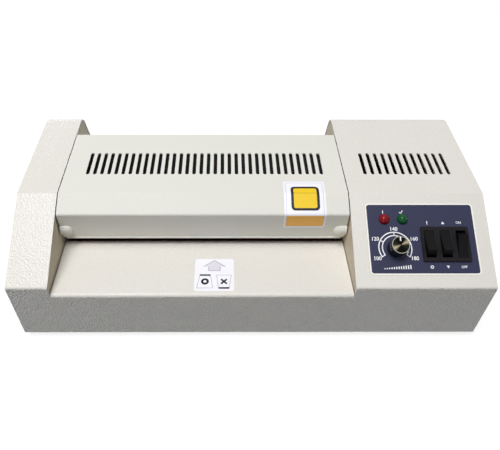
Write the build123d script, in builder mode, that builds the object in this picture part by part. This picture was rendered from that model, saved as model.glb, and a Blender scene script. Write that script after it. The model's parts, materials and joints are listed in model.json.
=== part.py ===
from build123d import *

import os
from math import acos, atan, cos, degrees, hypot, pi, radians, sin, sqrt, tan

os.makedirs("parts", exist_ok=True)

# Sheet metal pouch laminator for 230 mm pouches.
# Origin: on the bench, midway between the ends and between front and rear faces.
# +X to the right as the user sees it, +Y away from the user, +Z up. Millimetres.

# Case, outside sizes
case_width = 410.0
case_depth = 208.0
front_height = 62.0
panel_run = 74.0
panel_rise = 41.5
top_rise = 7.0
rear_step = 17.8
rear_lean = 21.0
ridge_radius = 14.0
fold_radius = 2.6
rear_fold_radius = 5.0
sheet = 1.2
left_bay_width = 35.0
right_bay_width = 118.0
bottom_flange = 12.0

# Gaps that fits and seats share
seat_gap = 0.1
cover_gap = 0.9
running_gap = 0.06
moving_gap = 0.3
screw_gap = 0.1

# Feet and chassis
foot_height = 7.0
foot_radius = 9.0
foot_inset = 24.0
pan_thickness = 1.2
pan_vent_length = 34.0
pan_vent_width = 3.0
pan_vent_pitch = 14.0
pan_vent_count = 12

# Feed table and exit table, both folded out of the case sheet
table_drop = 9.1
table_depth = 63.8
table_rise = 2.4
table_lip = 7.0
table_radius = 3.0
exit_depth = 47.0
exit_rise = 5.0
table_gap = 0.2

# Centre cover
flange_set = 20.4
flange_height = 29.2
flange_lean = 4.0
cover_rear_margin = 30.1
cover_rear_gap = 9.0
flange_corner = 3.5
rolled_edge_radius = 1.3
side_return = 12.0
return_from_bend = 2.0
boss_drop = 19.6
boss_radius = 6.7
boss_set = 3.2
boss_length = 11.1
vent_width = 3.3
vent_length = 30.7
vent_start = 25.0
vent_pitch = 6.48
vent_margin = 20.5
vent_shift = 0.5
side_vent_pitch = 6.97
side_vent_margin = 20.6
side_vent_shift = -1.3

# Cheeks and bearing frames
cheek_recess = 0.6
cheek_thickness = 1.0
frame_thickness = 2.0
frame_offset = 4.0
frame_foot = 13.0
frame_reach = 25.0
frame_top_gap = 2.5
frame_top_web = 3.0

# Rollers
roller_radius = 12.8
roller_gap = 0.4
sleeve_wall = 3.8
journal_radius = 4.0
roller_end_gap = 8.0
core_shoulder = 3.0
journal_overhang = 4.0
gear_overhang = 1.5
nip_above_table = 1.7
lift_travel = 1.0
block_width = 15.7
block_height = 18.0
block_lip = 2.2
block_lip_thickness = 1.4
spring_radius = 3.0
spring_wire = 0.8
bush_radius = 6.0
bush_flange = 2.0
bush_flange_thickness = 1.4
bush_overhang = 1.0

# Gear train
roller_teeth = 26
idler_teeth = 14
pinion_teeth = 12
gear_width = 6.0
gear_offset = 3.5
backlash = 0.26
addendum = 0.8
dedendum = 1.05
pressure_angle = 20.0
flank_steps = (-0.35, 0.3)
idler_pin_radius = 3.0
idler_shoulder = 2.0
idler_head = 1.5
idler_head_length = 2.0
pinion_angle = -32.0

# Motor
motor_radius = 24.0
gearbox_length = 18.0
motor_can_radius = 21.0
motor_can_length = 28.0
motor_plate_thickness = 2.0
motor_plate_offset = 16.0
motor_boss_radius = 7.0
motor_boss_length = 3.0
motor_shaft_radius = 3.0
pinion_shaft_depth = 6.0
plate_margin = 2.5
shaft_clearance = 2.0
post_radius = 3.5
post_angles = (-135.0, -45.0, 60.0)
post_clearance = 1.5
post_margin = 6.0

# Heaters
heater_gap = 1.6
heater_thickness = 3.0
heater_half_angle = 55.0
cutout_radius = 7.0
cutout_height = 6.0
cutout_cap_radius = 5.2

# Pouch guides
guide_drop = 1.2
guide_gap = 1.5

# Tie rods and fasteners
rod_radius = 5.0
stud_radius = 3.0
nut_radius = 5.5
nut_thickness = 4.0
screw_radius = 1.5
screw_head_radius = 2.9
screw_head_height = 1.6
screw_length = 8.0
flange_screw_inset = 60.0
cover_pin_radius = 2.5
cover_pin_head = 4.2
cover_pin_head_length = 2.1
rear_pin_inset = 14.0
rear_pin_drop = 7.0
rear_pin_reach = 2.7
rod_inset = 8.0
rod_above_pan = 11.0

# Control panel, placed from the label's centre
label_width = 93.9
label_height = 63.5
label_corner = 3.4
label_thickness = 0.3
label_margin = 11.4
label_shift = 0.5
lamp_across = (-31.2, -15.4)
lamp_up = 17.2
lamp_radius = 4.6
lamp_height = 4.6
lamp_neck_radius = 3.0
lamp_neck_length = 9.0
lamp_rim_height = 1.2
knob_across = -23.4
knob_up = -9.15
knob_radius = 7.8
knob_height = 12.4
knob_lift = 1.0
knob_draft = 0.1
knob_rim = 0.35
knob_flutes = 24
flute_radius = 0.45
knob_cap_radius = 7.1
knob_cap_thickness = 0.6
control_radius = 8.25
control_depth = 9.0
control_floor = 2.0
lug_width = 11.5
lug_depth = 6.0
lug_thickness = 1.0
bushing_radius = 3.5
bushing_height = 5.0
shaft_radius = 2.95
shaft_flat = 1.2
knob_skin = 3.0
nut_across = 5.6
nut_height = 2.0

# Rocker switches
switch_across = 19.25
switch_up = -5.2
switch_pitch = 13.6
bezel_width = 13.4
bezel_length = 30.6
bezel_height = 1.8
bezel_corner = 1.0
switch_body_width = 12.3
switch_body_length = 28.4
switch_body_depth = 18.0
rocker_width = 8.1
rocker_tilt = 15.0
rocker_pivot_depth = 7.0
rocker_corner_out = 9.4
rocker_corner_up = 9.8
rocker_dip_up = 9.0
rocker_foot_out = 11.2
rocker_foot_up = 2.0
rocker_keel_depth = 3.0
rocker_stub_radius = 0.8
rocker_stub_length = 0.9
terminal_width = 6.3
terminal_thickness = 0.8
terminal_length = 8.0

# Circuit board
board_depth = 58.0
board_thickness = 1.6
board_height = 9.0
board_front_gap = 14.0
board_side_gap = 4.0
board_end_gap = 5.0
standoff_radius = 3.0
standoff_inset = 5.0

# Mains inlet on the rear wall
inlet_from_end = 38.0
inlet_above_base = 26.0
inlet_flange_width = 48.0
inlet_flange_height = 24.0
inlet_flange_thickness = 2.4
inlet_corner = 3.0
inlet_body_width = 27.6
inlet_body_height = 19.8
inlet_body_depth = 20.0
inlet_cavity_width = 24.4
inlet_cavity_height = 16.4
inlet_cavity_depth = 16.0
inlet_screw_pitch = 40.0
blade_width = 4.0
blade_thickness = 2.0
blade_length = 13.0
blade_spread = 7.0
earth_blade_up = 3.4
line_blade_down = 3.4

# Places worked out from the sizes above
middle_y = -(inlet_flange_thickness + screw_head_height) / 2
front_y = middle_y - case_depth / 2
rear_y = middle_y + case_depth / 2
left_x = -case_width / 2
right_x = case_width / 2
floor_z = foot_height
front_edge_z = floor_z + front_height
bend_y = front_y + panel_run
bend_z = front_edge_z + panel_rise
ridge_y = rear_y - rear_step
ridge_z = bend_z + top_rise
rear_bend_z = ridge_z - rear_step / tan(radians(rear_lean))
opening_left = left_x + left_bay_width
opening_right = right_x - right_bay_width
opening_width = opening_right - opening_left
opening_x = (opening_left + opening_right) / 2
bay_x = (opening_right + right_x) / 2
panel_angle = atan(panel_rise / panel_run)
top_angle = atan(top_rise / (ridge_y - bend_y))
pan_bottom_z = floor_z + sheet + seat_gap
pan_top_z = pan_bottom_z + pan_thickness

up_slope = Vector(0, cos(panel_angle), sin(panel_angle))
panel_normal = Vector(0, -sin(panel_angle), cos(panel_angle))
across = Vector(1, 0, 0)


def panel_at(u, v, height=0.0):
    """Plane on the right bay's sloping panel, u and v from the label's centre."""
    up = label_margin + label_height / 2 + v
    base = Vector(bay_x + label_shift + u, front_y, front_edge_z)
    return Plane(origin=base + up_slope * up + panel_normal * height, x_dir=across, z_dir=panel_normal)


def panel_section(u, v):
    """Plane that holds the panel's normal, for profiles turned about it."""
    origin = panel_at(u, v).origin
    return Plane(origin=origin, x_dir=across, z_dir=up_slope * -1)


def top_at(x, up):
    """Plane on the upper slope, up measured from the bend."""
    slope = Vector(0, cos(top_angle), sin(top_angle))
    normal = Vector(0, -sin(top_angle), cos(top_angle))
    return Plane(origin=Vector(x, bend_y, bend_z) + slope * up, x_dir=across, z_dir=normal)


def rear_at(height):
    """Plane on the rear wall at the mains inlet, height outwards."""
    return Plane(origin=Vector(inlet_x, rear_y + height, inlet_z), x_dir=across * -1, z_dir=Vector(0, 1, 0))


def under_top(y, depth):
    """Height of a line depth below the upper slope."""
    return bend_z + (y - bend_y) * tan(top_angle) - depth


def write(piece, name):
    """Label a finished piece and write it to its own file."""
    piece.part.label = name
    export_step(piece.part, f"parts/{name}.step")


# Case sheet: one folded sheet makes the front, both housings and the rear
wrap_points = [
    (front_y, floor_z),
    (front_y, front_edge_z),
    (bend_y, bend_z),
    (ridge_y, ridge_z),
    (rear_y, rear_bend_z),
    (rear_y, floor_z),
]
wrap_radii = [fold_radius, fold_radius, ridge_radius, rear_fold_radius]

table_front_z = front_edge_z - table_drop
table_rear_y = front_y + table_depth
table_rear_z = table_front_z + table_rise
exit_front_y = rear_y - exit_depth
exit_front_z = table_rear_z - nip_above_table * 2
window_front_z = table_front_z - table_radius
window_rear_z = exit_front_z - exit_rise - table_radius * 2
exit_fold_z = exit_front_z - exit_rise

# Mains inlet and the screws under the case
inlet_x = right_x - inlet_from_end
inlet_z = floor_z + inlet_above_base
feet = [
    (left_x + foot_inset, front_y + foot_inset),
    (right_x - foot_inset, front_y + foot_inset),
    (left_x + foot_inset, rear_y - foot_inset),
    (right_x - foot_inset, rear_y - foot_inset),
]
flange_screws = [
    (screw_x, middle_y + side * (case_depth - bottom_flange) / 2)
    for side in (-1, 1)
    for screw_x in (left_x + flange_screw_inset, opening_x, right_x - flange_screw_inset)
]

# Centre cover places
flange_top = Vector(0, bend_y, bend_z) - up_slope * flange_set
flange_down = Vector(0, sin(radians(flange_lean)), -cos(radians(flange_lean)))
flange_length = flange_height / cos(radians(flange_lean))
flange_out = Vector(0, -cos(radians(flange_lean)), -sin(radians(flange_lean)))
flange_foot = flange_top + flange_down * flange_length
cover_left = opening_left + cover_gap
cover_right = opening_right - cover_gap
cover_width = cover_right - cover_left
cover_rear_y = ridge_y - cover_rear_margin
cover_rear_z = under_top(cover_rear_y, 0)
flange_plane = Plane(
    origin=Vector(opening_x, flange_top.Y, flange_top.Z),
    x_dir=across,
    z_dir=flange_out,
)

# Mechanism places
mech_y = (flange_foot.Y + cover_rear_y) / 2
nip_z = table_rear_z + nip_above_table
roller_spacing = 2 * roller_radius + roller_gap
gear_module = roller_spacing / roller_teeth
roller_pitch = (roller_teeth + idler_teeth) * gear_module
front_nip_y = mech_y - roller_pitch / 2
rear_nip_y = mech_y + roller_pitch / 2
lower_z = nip_z - roller_spacing / 2
upper_z = nip_z + roller_spacing / 2

cheek_left = opening_left - cheek_recess
cheek_right = opening_right + cheek_recess
cheek_left_outer = cheek_left - cheek_thickness
cheek_right_outer = cheek_right + cheek_thickness
frame_left = cheek_left_outer - frame_offset
frame_right = cheek_right_outer + frame_offset
frame_left_outer = frame_left - frame_thickness
frame_right_outer = frame_right + frame_thickness
frame_front_y = front_nip_y - frame_reach
frame_rear_y = rear_nip_y + frame_reach
slope_under_z = front_edge_z + (frame_front_y - front_y) * tan(panel_angle) - sheet / cos(panel_angle)
frame_top_z = slope_under_z - frame_top_gap
slot_top_z = frame_top_z - frame_top_web
slot_bottom_z = upper_z - block_height / 2 - seat_gap
slot_width = block_width + moving_gap
rods = [
    (frame_front_y + rod_inset, pan_top_z + rod_above_pan),
    (frame_rear_y - rod_inset, pan_top_z + rod_above_pan),
    (mech_y, frame_top_z - rod_inset),
]
boss_centre = flange_top + flange_down * boss_drop - flange_out * boss_set
boss_straight = boss_length - sqrt(boss_radius**2 - boss_set**2)
rear_pin_y = cover_rear_y - rear_pin_inset
cover_pins = [
    (boss_centre.Y, boss_centre.Z),
    (rear_pin_y, under_top(rear_pin_y, rear_pin_drop)),
]


def housing_face(start, inset):
    """Outline of the case at x = start, drawn in by inset."""
    with BuildSketch(Plane.YZ.offset(start)) as face:
        with BuildLine():
            FilletPolyline(*wrap_points, radius=wrap_radii)
            Line(wrap_points[-1], wrap_points[0])
        make_face()
        offset(amount=-inset, mode=Mode.REPLACE)
    return face.sketch


def folded_strip(start, points, radii):
    """Section at x = start of a folded sheet whose outer side follows the points."""
    with BuildSketch(Plane.YZ.offset(start)) as section:
        with BuildLine():
            FilletPolyline(*points, radius=radii)
            offset(amount=sheet, side=Side.RIGHT)
        make_face()
    return section.sketch


with BuildPart() as case_shell:
    extrude(folded_strip(left_x, wrap_points, wrap_radii), amount=case_width)
    # bottom flanges, folded in under the pan
    with BuildSketch(Plane.XY.offset(floor_z)):
        with Locations((0, front_y + bottom_flange / 2), (0, rear_y - bottom_flange / 2)):
            Rectangle(case_width, bottom_flange)
    extrude(amount=sheet)
    # window for the feed table, the cover and the exit table
    with BuildSketch(Plane.YZ.offset(opening_left)):
        with BuildLine():
            Polyline(
                (front_y - sheet, window_front_z),
                (middle_y, window_front_z),
                (middle_y, window_rear_z),
                (rear_y + sheet, window_rear_z),
                (rear_y + sheet, ridge_z + sheet),
                (front_y - sheet, ridge_z + sheet),
                close=True,
            )
        make_face()
    extrude(amount=opening_width, mode=Mode.SUBTRACT)
    # feed table: the window's front tab, folded back
    table_points = [
        (front_y, window_front_z - sheet),
        (front_y, table_front_z),
        (table_rear_y, table_rear_z),
        (table_rear_y + sheet, table_rear_z - table_lip),
    ]
    table_section = folded_strip(opening_left + table_gap, table_points, [table_radius, fold_radius])
    extrude(table_section, amount=opening_width - 2 * table_gap)
    # exit table: the window's rear tab, folded forward
    exit_points = [
        (exit_front_y - sheet, exit_front_z - table_lip),
        (exit_front_y, exit_front_z),
        (rear_y, exit_fold_z),
        (rear_y, window_rear_z - sheet),
    ]
    exit_section = folded_strip(opening_left + table_gap, exit_points, [fold_radius, table_radius])
    extrude(exit_section, amount=opening_width - 2 * table_gap)
    # vents of the right housing
    side_vent_span = right_bay_width - 2 * side_vent_margin
    side_vent_count = round(side_vent_span / side_vent_pitch) + 1
    side_vents = top_at(bay_x + side_vent_shift, vent_start + vent_length / 2)
    with BuildSketch(side_vents):
        with GridLocations(side_vent_span / (side_vent_count - 1), 1, side_vent_count, 1):
            SlotOverall(vent_length, vent_width, rotation=90)
    extrude(amount=-2 * sheet, mode=Mode.SUBTRACT)
    # holes behind the control panel
    with BuildSketch(panel_at(0, 0)):
        with Locations((lamp_across[0], lamp_up), (lamp_across[1], lamp_up)):
            Circle(lamp_neck_radius + seat_gap)
        with Locations((knob_across, knob_up)):
            Circle(bushing_radius + seat_gap)
        with Locations((switch_across, switch_up)):
            with GridLocations(switch_pitch, 1, 3, 1):
                Rectangle(switch_body_width + 2 * seat_gap, switch_body_length + 2 * seat_gap)
    extrude(amount=-2 * sheet, mode=Mode.SUBTRACT)
    # mains inlet in the rear wall
    with BuildSketch(rear_at(0)):
        Rectangle(inlet_body_width + 2 * seat_gap, inlet_body_height + 2 * seat_gap)
        with GridLocations(inlet_screw_pitch, 1, 2, 1):
            Circle(screw_radius + screw_gap)
    extrude(amount=-2 * sheet, mode=Mode.SUBTRACT)
    # screws that hold the pan on the bottom flanges
    with BuildSketch(Plane.XY.offset(floor_z)):
        with Locations(*flange_screws):
            Circle(screw_radius + screw_gap)
    extrude(amount=sheet, mode=Mode.SUBTRACT)
write(case_shell, "case_shell")


def bar(start, end, centre, radius):
    """Round bar along X from start to end; centre is its (y, z)."""
    with BuildPart() as piece:
        with BuildSketch(Plane.YZ.offset(start)):
            with Locations(centre):
                Circle(radius)
        extrude(amount=end - start)
    return piece.part


# Base pan, standing on the case's bottom flanges
with BuildPart() as base_pan:
    pan_width = case_width - 2 * (sheet + seat_gap)
    pan_depth = case_depth - 2 * (sheet + seat_gap)
    with BuildSketch(Plane.XY.offset(pan_bottom_z)):
        with Locations((0, middle_y)):
            Rectangle(pan_width, pan_depth)
        with Locations((opening_x, mech_y)):
            with GridLocations(pan_vent_pitch, 1, pan_vent_count, 1):
                SlotOverall(pan_vent_length, pan_vent_width, rotation=90, mode=Mode.SUBTRACT)
    extrude(amount=pan_thickness)
    with BuildSketch(Plane.XY.offset(pan_bottom_z)):
        with Locations(*feet, *flange_screws):
            Circle(screw_radius + screw_gap)
    extrude(amount=pan_thickness, mode=Mode.SUBTRACT)
    # front and rear edges turned up inside the case sheet
    with BuildSketch(Plane.XY.offset(pan_top_z)):
        with Locations((0, middle_y)):
            with GridLocations(1, pan_depth - pan_thickness, 1, 2):
                Rectangle(pan_width, pan_thickness)
    extrude(amount=bottom_flange)
write(base_pan, "base_pan")


def wall(start, thickness):
    """Plate from x = start whose outline fits inside the case sheet and over the pan."""
    rim = pan_depth / 2 - pan_thickness - seat_gap
    with BuildPart() as piece:
        extrude(housing_face(start, sheet + seat_gap), amount=thickness)
        with BuildSketch(Plane.XY.offset(pan_top_z)):
            with Locations((start, middle_y)):
                Rectangle(4 * sheet, case_depth)
        extrude(amount=-pan_top_z, mode=Mode.SUBTRACT)
        with BuildSketch(Plane.XY.offset(pan_top_z)):
            with Locations((start, middle_y)):
                with GridLocations(1, 2 * (rim + bottom_flange), 1, 2):
                    Rectangle(4 * sheet, 2 * bottom_flange)
        extrude(amount=bottom_flange + seat_gap, mode=Mode.SUBTRACT)
    return piece.part


def end_plate(outside, direction):
    """End of the case, its outer face at x = outside and its foot turned to direction."""
    with BuildPart() as piece:
        add(wall(min(outside, outside + direction * sheet), sheet))
        with BuildSketch(Plane.XY.offset(pan_top_z)):
            with Locations((outside + direction * bottom_flange / 2, middle_y)):
                Rectangle(bottom_flange, pan_depth - 4 * bottom_flange)
        extrude(amount=sheet)
    return piece


write(end_plate(left_x, 1), "left_end_plate")
write(end_plate(right_x, -1), "right_end_plate")


# Cheeks: the painted walls that face the feed recess and the exit recess
def cheek(inner, direction):
    """Cheek whose visible face is at x = inner; direction points to its housing."""
    start = min(inner, inner + direction * cheek_thickness)
    with BuildPart() as piece:
        add(wall(start, cheek_thickness))
        # holes for the roller journals, the tie rods and the cover's pins
        with BuildSketch(Plane.YZ.offset(start)):
            with Locations((front_nip_y, lower_z), (rear_nip_y, lower_z)):
                Circle(bush_radius)
            with Locations((front_nip_y, upper_z), (rear_nip_y, upper_z)):
                Circle(bush_radius + lift_travel)
            with Locations(*rods):
                Circle(rod_radius + screw_gap)
            with Locations(*cover_pins):
                Circle(cover_pin_radius + screw_gap)
        extrude(amount=cheek_thickness, mode=Mode.SUBTRACT)
        # foot, turned in under the rollers
        with BuildSketch(Plane.XY.offset(pan_top_z)):
            with Locations((inner - direction * frame_foot / 2, mech_y)):
                Rectangle(frame_foot, roller_pitch + 2 * roller_radius)
        extrude(amount=cheek_thickness)
    return piece


write(cheek(cheek_left, -1), "left_cheek")
write(cheek(cheek_right, 1), "right_cheek")


# Motor places: the pinion meshes with the rear lower gear
pinion_reach = (roller_teeth + pinion_teeth) * gear_module / 2
pinion_y = rear_nip_y + pinion_reach * cos(radians(pinion_angle))
pinion_z = lower_z + pinion_reach * sin(radians(pinion_angle))
post_circle = motor_radius + post_radius + post_clearance
post_places = [
    (pinion_y + post_circle * cos(radians(angle)), pinion_z + post_circle * sin(radians(angle)))
    for angle in post_angles
]
wing_rear_y = max(place[0] for place in post_places) + post_margin
wing_top_z = max(place[1] for place in post_places) + post_margin


# Bearing frames, standing on the pan outside the cheeks
def bearing_frame(inner, direction):
    """Frame whose roller side is at x = inner; direction points to its housing."""
    start = min(inner, inner + direction * frame_thickness)
    frame_height = frame_top_z - pan_top_z
    with BuildPart() as piece:
        with BuildSketch(Plane.YZ.offset(start)):
            with Locations((mech_y, pan_top_z + frame_height / 2)):
                Rectangle(frame_rear_y - frame_front_y, frame_height)
            if direction > 0:
                # wing that carries the motor's posts
                with Locations(((rear_nip_y + wing_rear_y) / 2, (pan_top_z + wing_top_z) / 2)):
                    Rectangle(wing_rear_y - rear_nip_y, wing_top_z - pan_top_z)
            with Locations((front_nip_y, lower_z), (rear_nip_y, lower_z)):
                Circle(bush_radius + seat_gap / 2, mode=Mode.SUBTRACT)
            slot_height = slot_top_z - slot_bottom_z
            for nip_y in (front_nip_y, rear_nip_y):
                with Locations((nip_y, slot_bottom_z + slot_height / 2)):
                    Rectangle(slot_width, slot_height, mode=Mode.SUBTRACT)
            with Locations(*rods):
                Circle(stud_radius + screw_gap, mode=Mode.SUBTRACT)
        extrude(amount=frame_thickness)
        with BuildSketch(Plane.XY.offset(pan_top_z)):
            with Locations((inner + direction * frame_foot / 2, mech_y)):
                Rectangle(frame_foot, frame_rear_y - frame_front_y)
        extrude(amount=frame_thickness)
    return piece


write(bearing_frame(frame_left, -1), "left_frame")
write(bearing_frame(frame_right, 1), "right_frame")

# Tie rods with their nuts
with BuildPart() as tie_rods:
    for rod in rods:
        add(bar(frame_left, frame_right, rod, rod_radius))
        add(bar(frame_left_outer - nut_thickness, frame_right_outer + nut_thickness, rod, stud_radius))
        for nut_start in (frame_left_outer - nut_thickness, frame_right_outer):
            with BuildSketch(Plane.YZ.offset(nut_start)):
                with Locations(rod):
                    RegularPolygon(nut_radius, 6)
            extrude(amount=nut_thickness)
write(tie_rods, "tie_rods")

# Rollers: a core with its journals, and a silicone sleeve on it
sleeve_left = cheek_left + roller_end_gap
sleeve_right = cheek_right - roller_end_gap
journal_left = frame_left_outer - bush_overhang - journal_overhang
gear_left = frame_right_outer + gear_offset
gear_right = gear_left + gear_width
journal_right = gear_right + gear_overhang
core_radius = roller_radius - sleeve_wall


def roller(name, centre):
    """Core and sleeve of one roller at centre (y, z)."""
    with BuildPart() as core:
        add(bar(journal_left, journal_right, centre, journal_radius))
        add(bar(sleeve_left - core_shoulder, sleeve_right + core_shoulder, centre, core_radius))
    write(core, f"{name}_core")
    with BuildPart() as sleeve:
        with BuildSketch(Plane.YZ.offset(sleeve_left)):
            with Locations(centre):
                Circle(roller_radius)
                Circle(core_radius, mode=Mode.SUBTRACT)
        extrude(amount=sleeve_right - sleeve_left)
    write(sleeve, f"{name}_sleeve")


lower_heat = (front_nip_y, lower_z)
upper_heat = (front_nip_y, upper_z)
lower_pull = (rear_nip_y, lower_z)
upper_pull = (rear_nip_y, upper_z)
roller("lower_heat", lower_heat)
roller("upper_heat", upper_heat)
roller("lower_pull", lower_pull)
roller("upper_pull", upper_pull)

# Bushes of the lower rollers, flanged on the roller side
with BuildPart() as lower_bushes:
    for centre in (lower_heat, lower_pull):
        for inner, direction in ((frame_left, -1), (frame_right, 1)):
            flange_end = inner - direction * bush_flange_thickness
            barrel_end = inner + direction * (frame_thickness + bush_overhang)
            add(bar(min(inner, barrel_end), max(inner, barrel_end), centre, bush_radius))
            add(bar(min(inner, flange_end), max(inner, flange_end), centre, bush_radius + bush_flange))
        bore = bar(journal_left, journal_right, centre, journal_radius + running_gap)
        add(bore, mode=Mode.SUBTRACT)
write(lower_bushes, "lower_bushes")


# Sliding blocks of the upper rollers and the springs that press them down
def lift_blocks(name, centre):
    """Two bearing blocks that slide in the frames' slots."""
    nip_y, nip_up = centre
    top = nip_up + block_height / 2
    with BuildPart() as blocks:
        for inner, direction in ((frame_left, -1), (frame_right, 1)):
            middle = inner + direction * frame_thickness / 2
            lip = frame_thickness + 2 * seat_gap + 2 * block_lip_thickness
            with BuildSketch(Plane.YZ.offset(middle - lip / 2)):
                with Locations(centre):
                    Rectangle(block_width, block_height)
            extrude(amount=lip)
            for side in (-1, 1):
                lip_start = middle + side * (lip - block_lip_thickness) / 2 - block_lip_thickness / 2
                with BuildSketch(Plane.YZ.offset(lip_start)):
                    with Locations(centre):
                        Rectangle(block_width + 2 * block_lip, block_height)
                extrude(amount=block_lip_thickness)
            with BuildSketch(Plane.XY.offset(top)):
                with Locations((middle, nip_y)):
                    Circle(spring_radius - spring_wire - moving_gap)
            extrude(amount=(slot_top_z - top) / 3)
        add(bar(journal_left, journal_right, centre, journal_radius + running_gap), mode=Mode.SUBTRACT)
    write(blocks, f"{name}_blocks")
    with BuildPart() as springs:
        for inner, direction in ((frame_left, -1), (frame_right, 1)):
            middle = inner + direction * frame_thickness / 2
            with BuildSketch(Plane.XY.offset(top)):
                with Locations((middle, nip_y)):
                    Circle(spring_radius)
                    Circle(spring_radius - spring_wire, mode=Mode.SUBTRACT)
            extrude(amount=slot_top_z - top)
    write(springs, f"{name}_springs")


lift_blocks("heat", upper_heat)
lift_blocks("pull", upper_pull)


# Gear train: straight-toothed gears on one module
def involute(angle):
    """Involute of a pressure angle in radians."""
    return tan(angle) - angle


def tooth_half_angle(teeth, radius):
    """Half of a tooth's angle, in radians, where it has this radius."""
    base = teeth * gear_module / 2 * cos(radians(pressure_angle))
    at_pitch = (pi * gear_module / 2 - backlash) / (teeth * gear_module)
    slant = acos(min(1.0, base / radius))
    return at_pitch + involute(radians(pressure_angle)) - involute(slant)


def gear_face(teeth, centre, first_tooth):
    """Gear outline with its first tooth's middle at an angle in degrees."""
    pitch_radius = teeth * gear_module / 2
    radii = [pitch_radius + step * gear_module for step in (-dedendum, *flank_steps, addendum)]
    points = []
    for tooth in range(teeth):
        middle = radians(first_tooth) + 2 * pi * tooth / teeth
        flank = [(radius, tooth_half_angle(teeth, radius)) for radius in radii]
        rising = [(radius, middle - half) for radius, half in flank]
        falling = [(radius, middle + half) for radius, half in reversed(flank)]
        points += [(radius * cos(angle), radius * sin(angle)) for radius, angle in rising + falling]
    with BuildSketch(Plane.YZ.offset(gear_left)) as face:
        with Locations(centre):
            Polygon(*points, align=None)
    return face.sketch


def meshing_tooth(teeth, driver_teeth, driver_tooth, direction):
    """Angle of a tooth's middle that meshes with a driver gear lying against direction."""
    pitch = 360 / driver_teeth
    ahead = (driver_tooth - direction) % pitch
    return direction + 180 - ahead * driver_teeth / teeth + 180 / teeth


def gear(name, teeth, centre, first_tooth, bore):
    """Straight-toothed gear with a round bore."""
    with BuildPart() as piece:
        extrude(gear_face(teeth, centre, first_tooth), amount=gear_width)
        add(bar(gear_left, gear_right, centre, bore), mode=Mode.SUBTRACT)
    write(piece, name)


heat_tooth = 90.0
upper_tooth = meshing_tooth(roller_teeth, roller_teeth, heat_tooth, 90.0)
idler_tooth = meshing_tooth(idler_teeth, roller_teeth, heat_tooth, 0.0)
pull_tooth = meshing_tooth(roller_teeth, idler_teeth, idler_tooth, 0.0)
upper_pull_tooth = meshing_tooth(roller_teeth, roller_teeth, pull_tooth, 90.0)
pinion_tooth = meshing_tooth(pinion_teeth, roller_teeth, pull_tooth, pinion_angle)
idler = (mech_y, lower_z)
journal_bore = journal_radius + seat_gap / 4
gear("lower_heat_gear", roller_teeth, lower_heat, heat_tooth, journal_bore)
gear("upper_heat_gear", roller_teeth, upper_heat, upper_tooth, journal_bore)
gear("lower_pull_gear", roller_teeth, lower_pull, pull_tooth, journal_bore)
gear("upper_pull_gear", roller_teeth, upper_pull, upper_pull_tooth, journal_bore)
gear("idler_gear", idler_teeth, idler, idler_tooth, idler_pin_radius + running_gap)

with BuildPart() as idler_pin:
    pin_end = gear_right + moving_gap + idler_head_length
    add(bar(frame_right_outer, pin_end, idler, idler_pin_radius))
    add(bar(frame_right_outer, gear_left - moving_gap, idler, idler_pin_radius + idler_shoulder))
    add(bar(gear_right + moving_gap, pin_end, idler, idler_pin_radius + idler_head))
write(idler_pin, "idler_pin")

# Motor on its plate, carried by three posts on the right frame
pinion_centre = (pinion_y, pinion_z)
plate_left = frame_right_outer + motor_plate_offset
plate_right = plate_left + motor_plate_thickness
with BuildPart() as motor_posts:
    for place in post_places:
        add(bar(frame_right_outer, plate_left, place, post_radius))
write(motor_posts, "motor_posts")

with BuildPart() as motor_plate:
    with BuildSketch(Plane.YZ.offset(plate_left)):
        with Locations(pinion_centre):
            Circle(motor_can_radius)
        with BuildLine():
            Polyline(*post_places, close=True)
        make_face()
        with Locations(*post_places):
            Circle(post_radius + plate_margin)
        with Locations(pinion_centre):
            Circle(motor_shaft_radius + shaft_clearance, mode=Mode.SUBTRACT)
    extrude(amount=motor_plate_thickness)
write(motor_plate, "motor_plate")

with BuildPart() as motor:
    add(bar(plate_right, plate_right + gearbox_length, pinion_centre, motor_radius))
    can_end = plate_right + gearbox_length + motor_can_length
    add(bar(plate_right + gearbox_length, can_end, pinion_centre, motor_can_radius))
    add(bar(can_end, can_end + motor_boss_length, pinion_centre, motor_boss_radius))
    hole_radius = motor_shaft_radius + running_gap
    shaft_hole = bar(plate_right, plate_right + pinion_shaft_depth, pinion_centre, hole_radius)
    add(shaft_hole, mode=Mode.SUBTRACT)
write(motor, "motor")

with BuildPart() as motor_pinion:
    extrude(gear_face(pinion_teeth, pinion_centre, pinion_tooth), amount=gear_width)
    add(bar(gear_right, plate_right + pinion_shaft_depth - moving_gap, pinion_centre, motor_shaft_radius))
write(motor_pinion, "motor_pinion")


# Heater shoes round the front rollers
def heater(name, centre, direction):
    """Shoe that covers the roller's far side; direction is 1 above, -1 below."""
    inner_radius = roller_radius + heater_gap
    outer_radius = inner_radius + heater_thickness
    chord = inner_radius * cos(radians(heater_half_angle))
    reach = outer_radius - chord
    with BuildPart() as piece:
        with BuildSketch(Plane.YZ.offset(cheek_left)):
            with Locations(centre):
                Circle(outer_radius)
                Circle(inner_radius, mode=Mode.SUBTRACT)
            with Locations((centre[0], centre[1] + direction * (chord + reach))):
                Rectangle(3 * outer_radius, 2 * reach, mode=Mode.INTERSECT)
            # flat pad for the strip heater
            with Locations((centre[0], centre[1] + direction * (outer_radius - heater_thickness / 2))):
                Rectangle(outer_radius, heater_thickness)
            with Locations(centre):
                Circle(inner_radius, mode=Mode.SUBTRACT)
        extrude(amount=cheek_right - cheek_left)
    write(piece, name)


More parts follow.
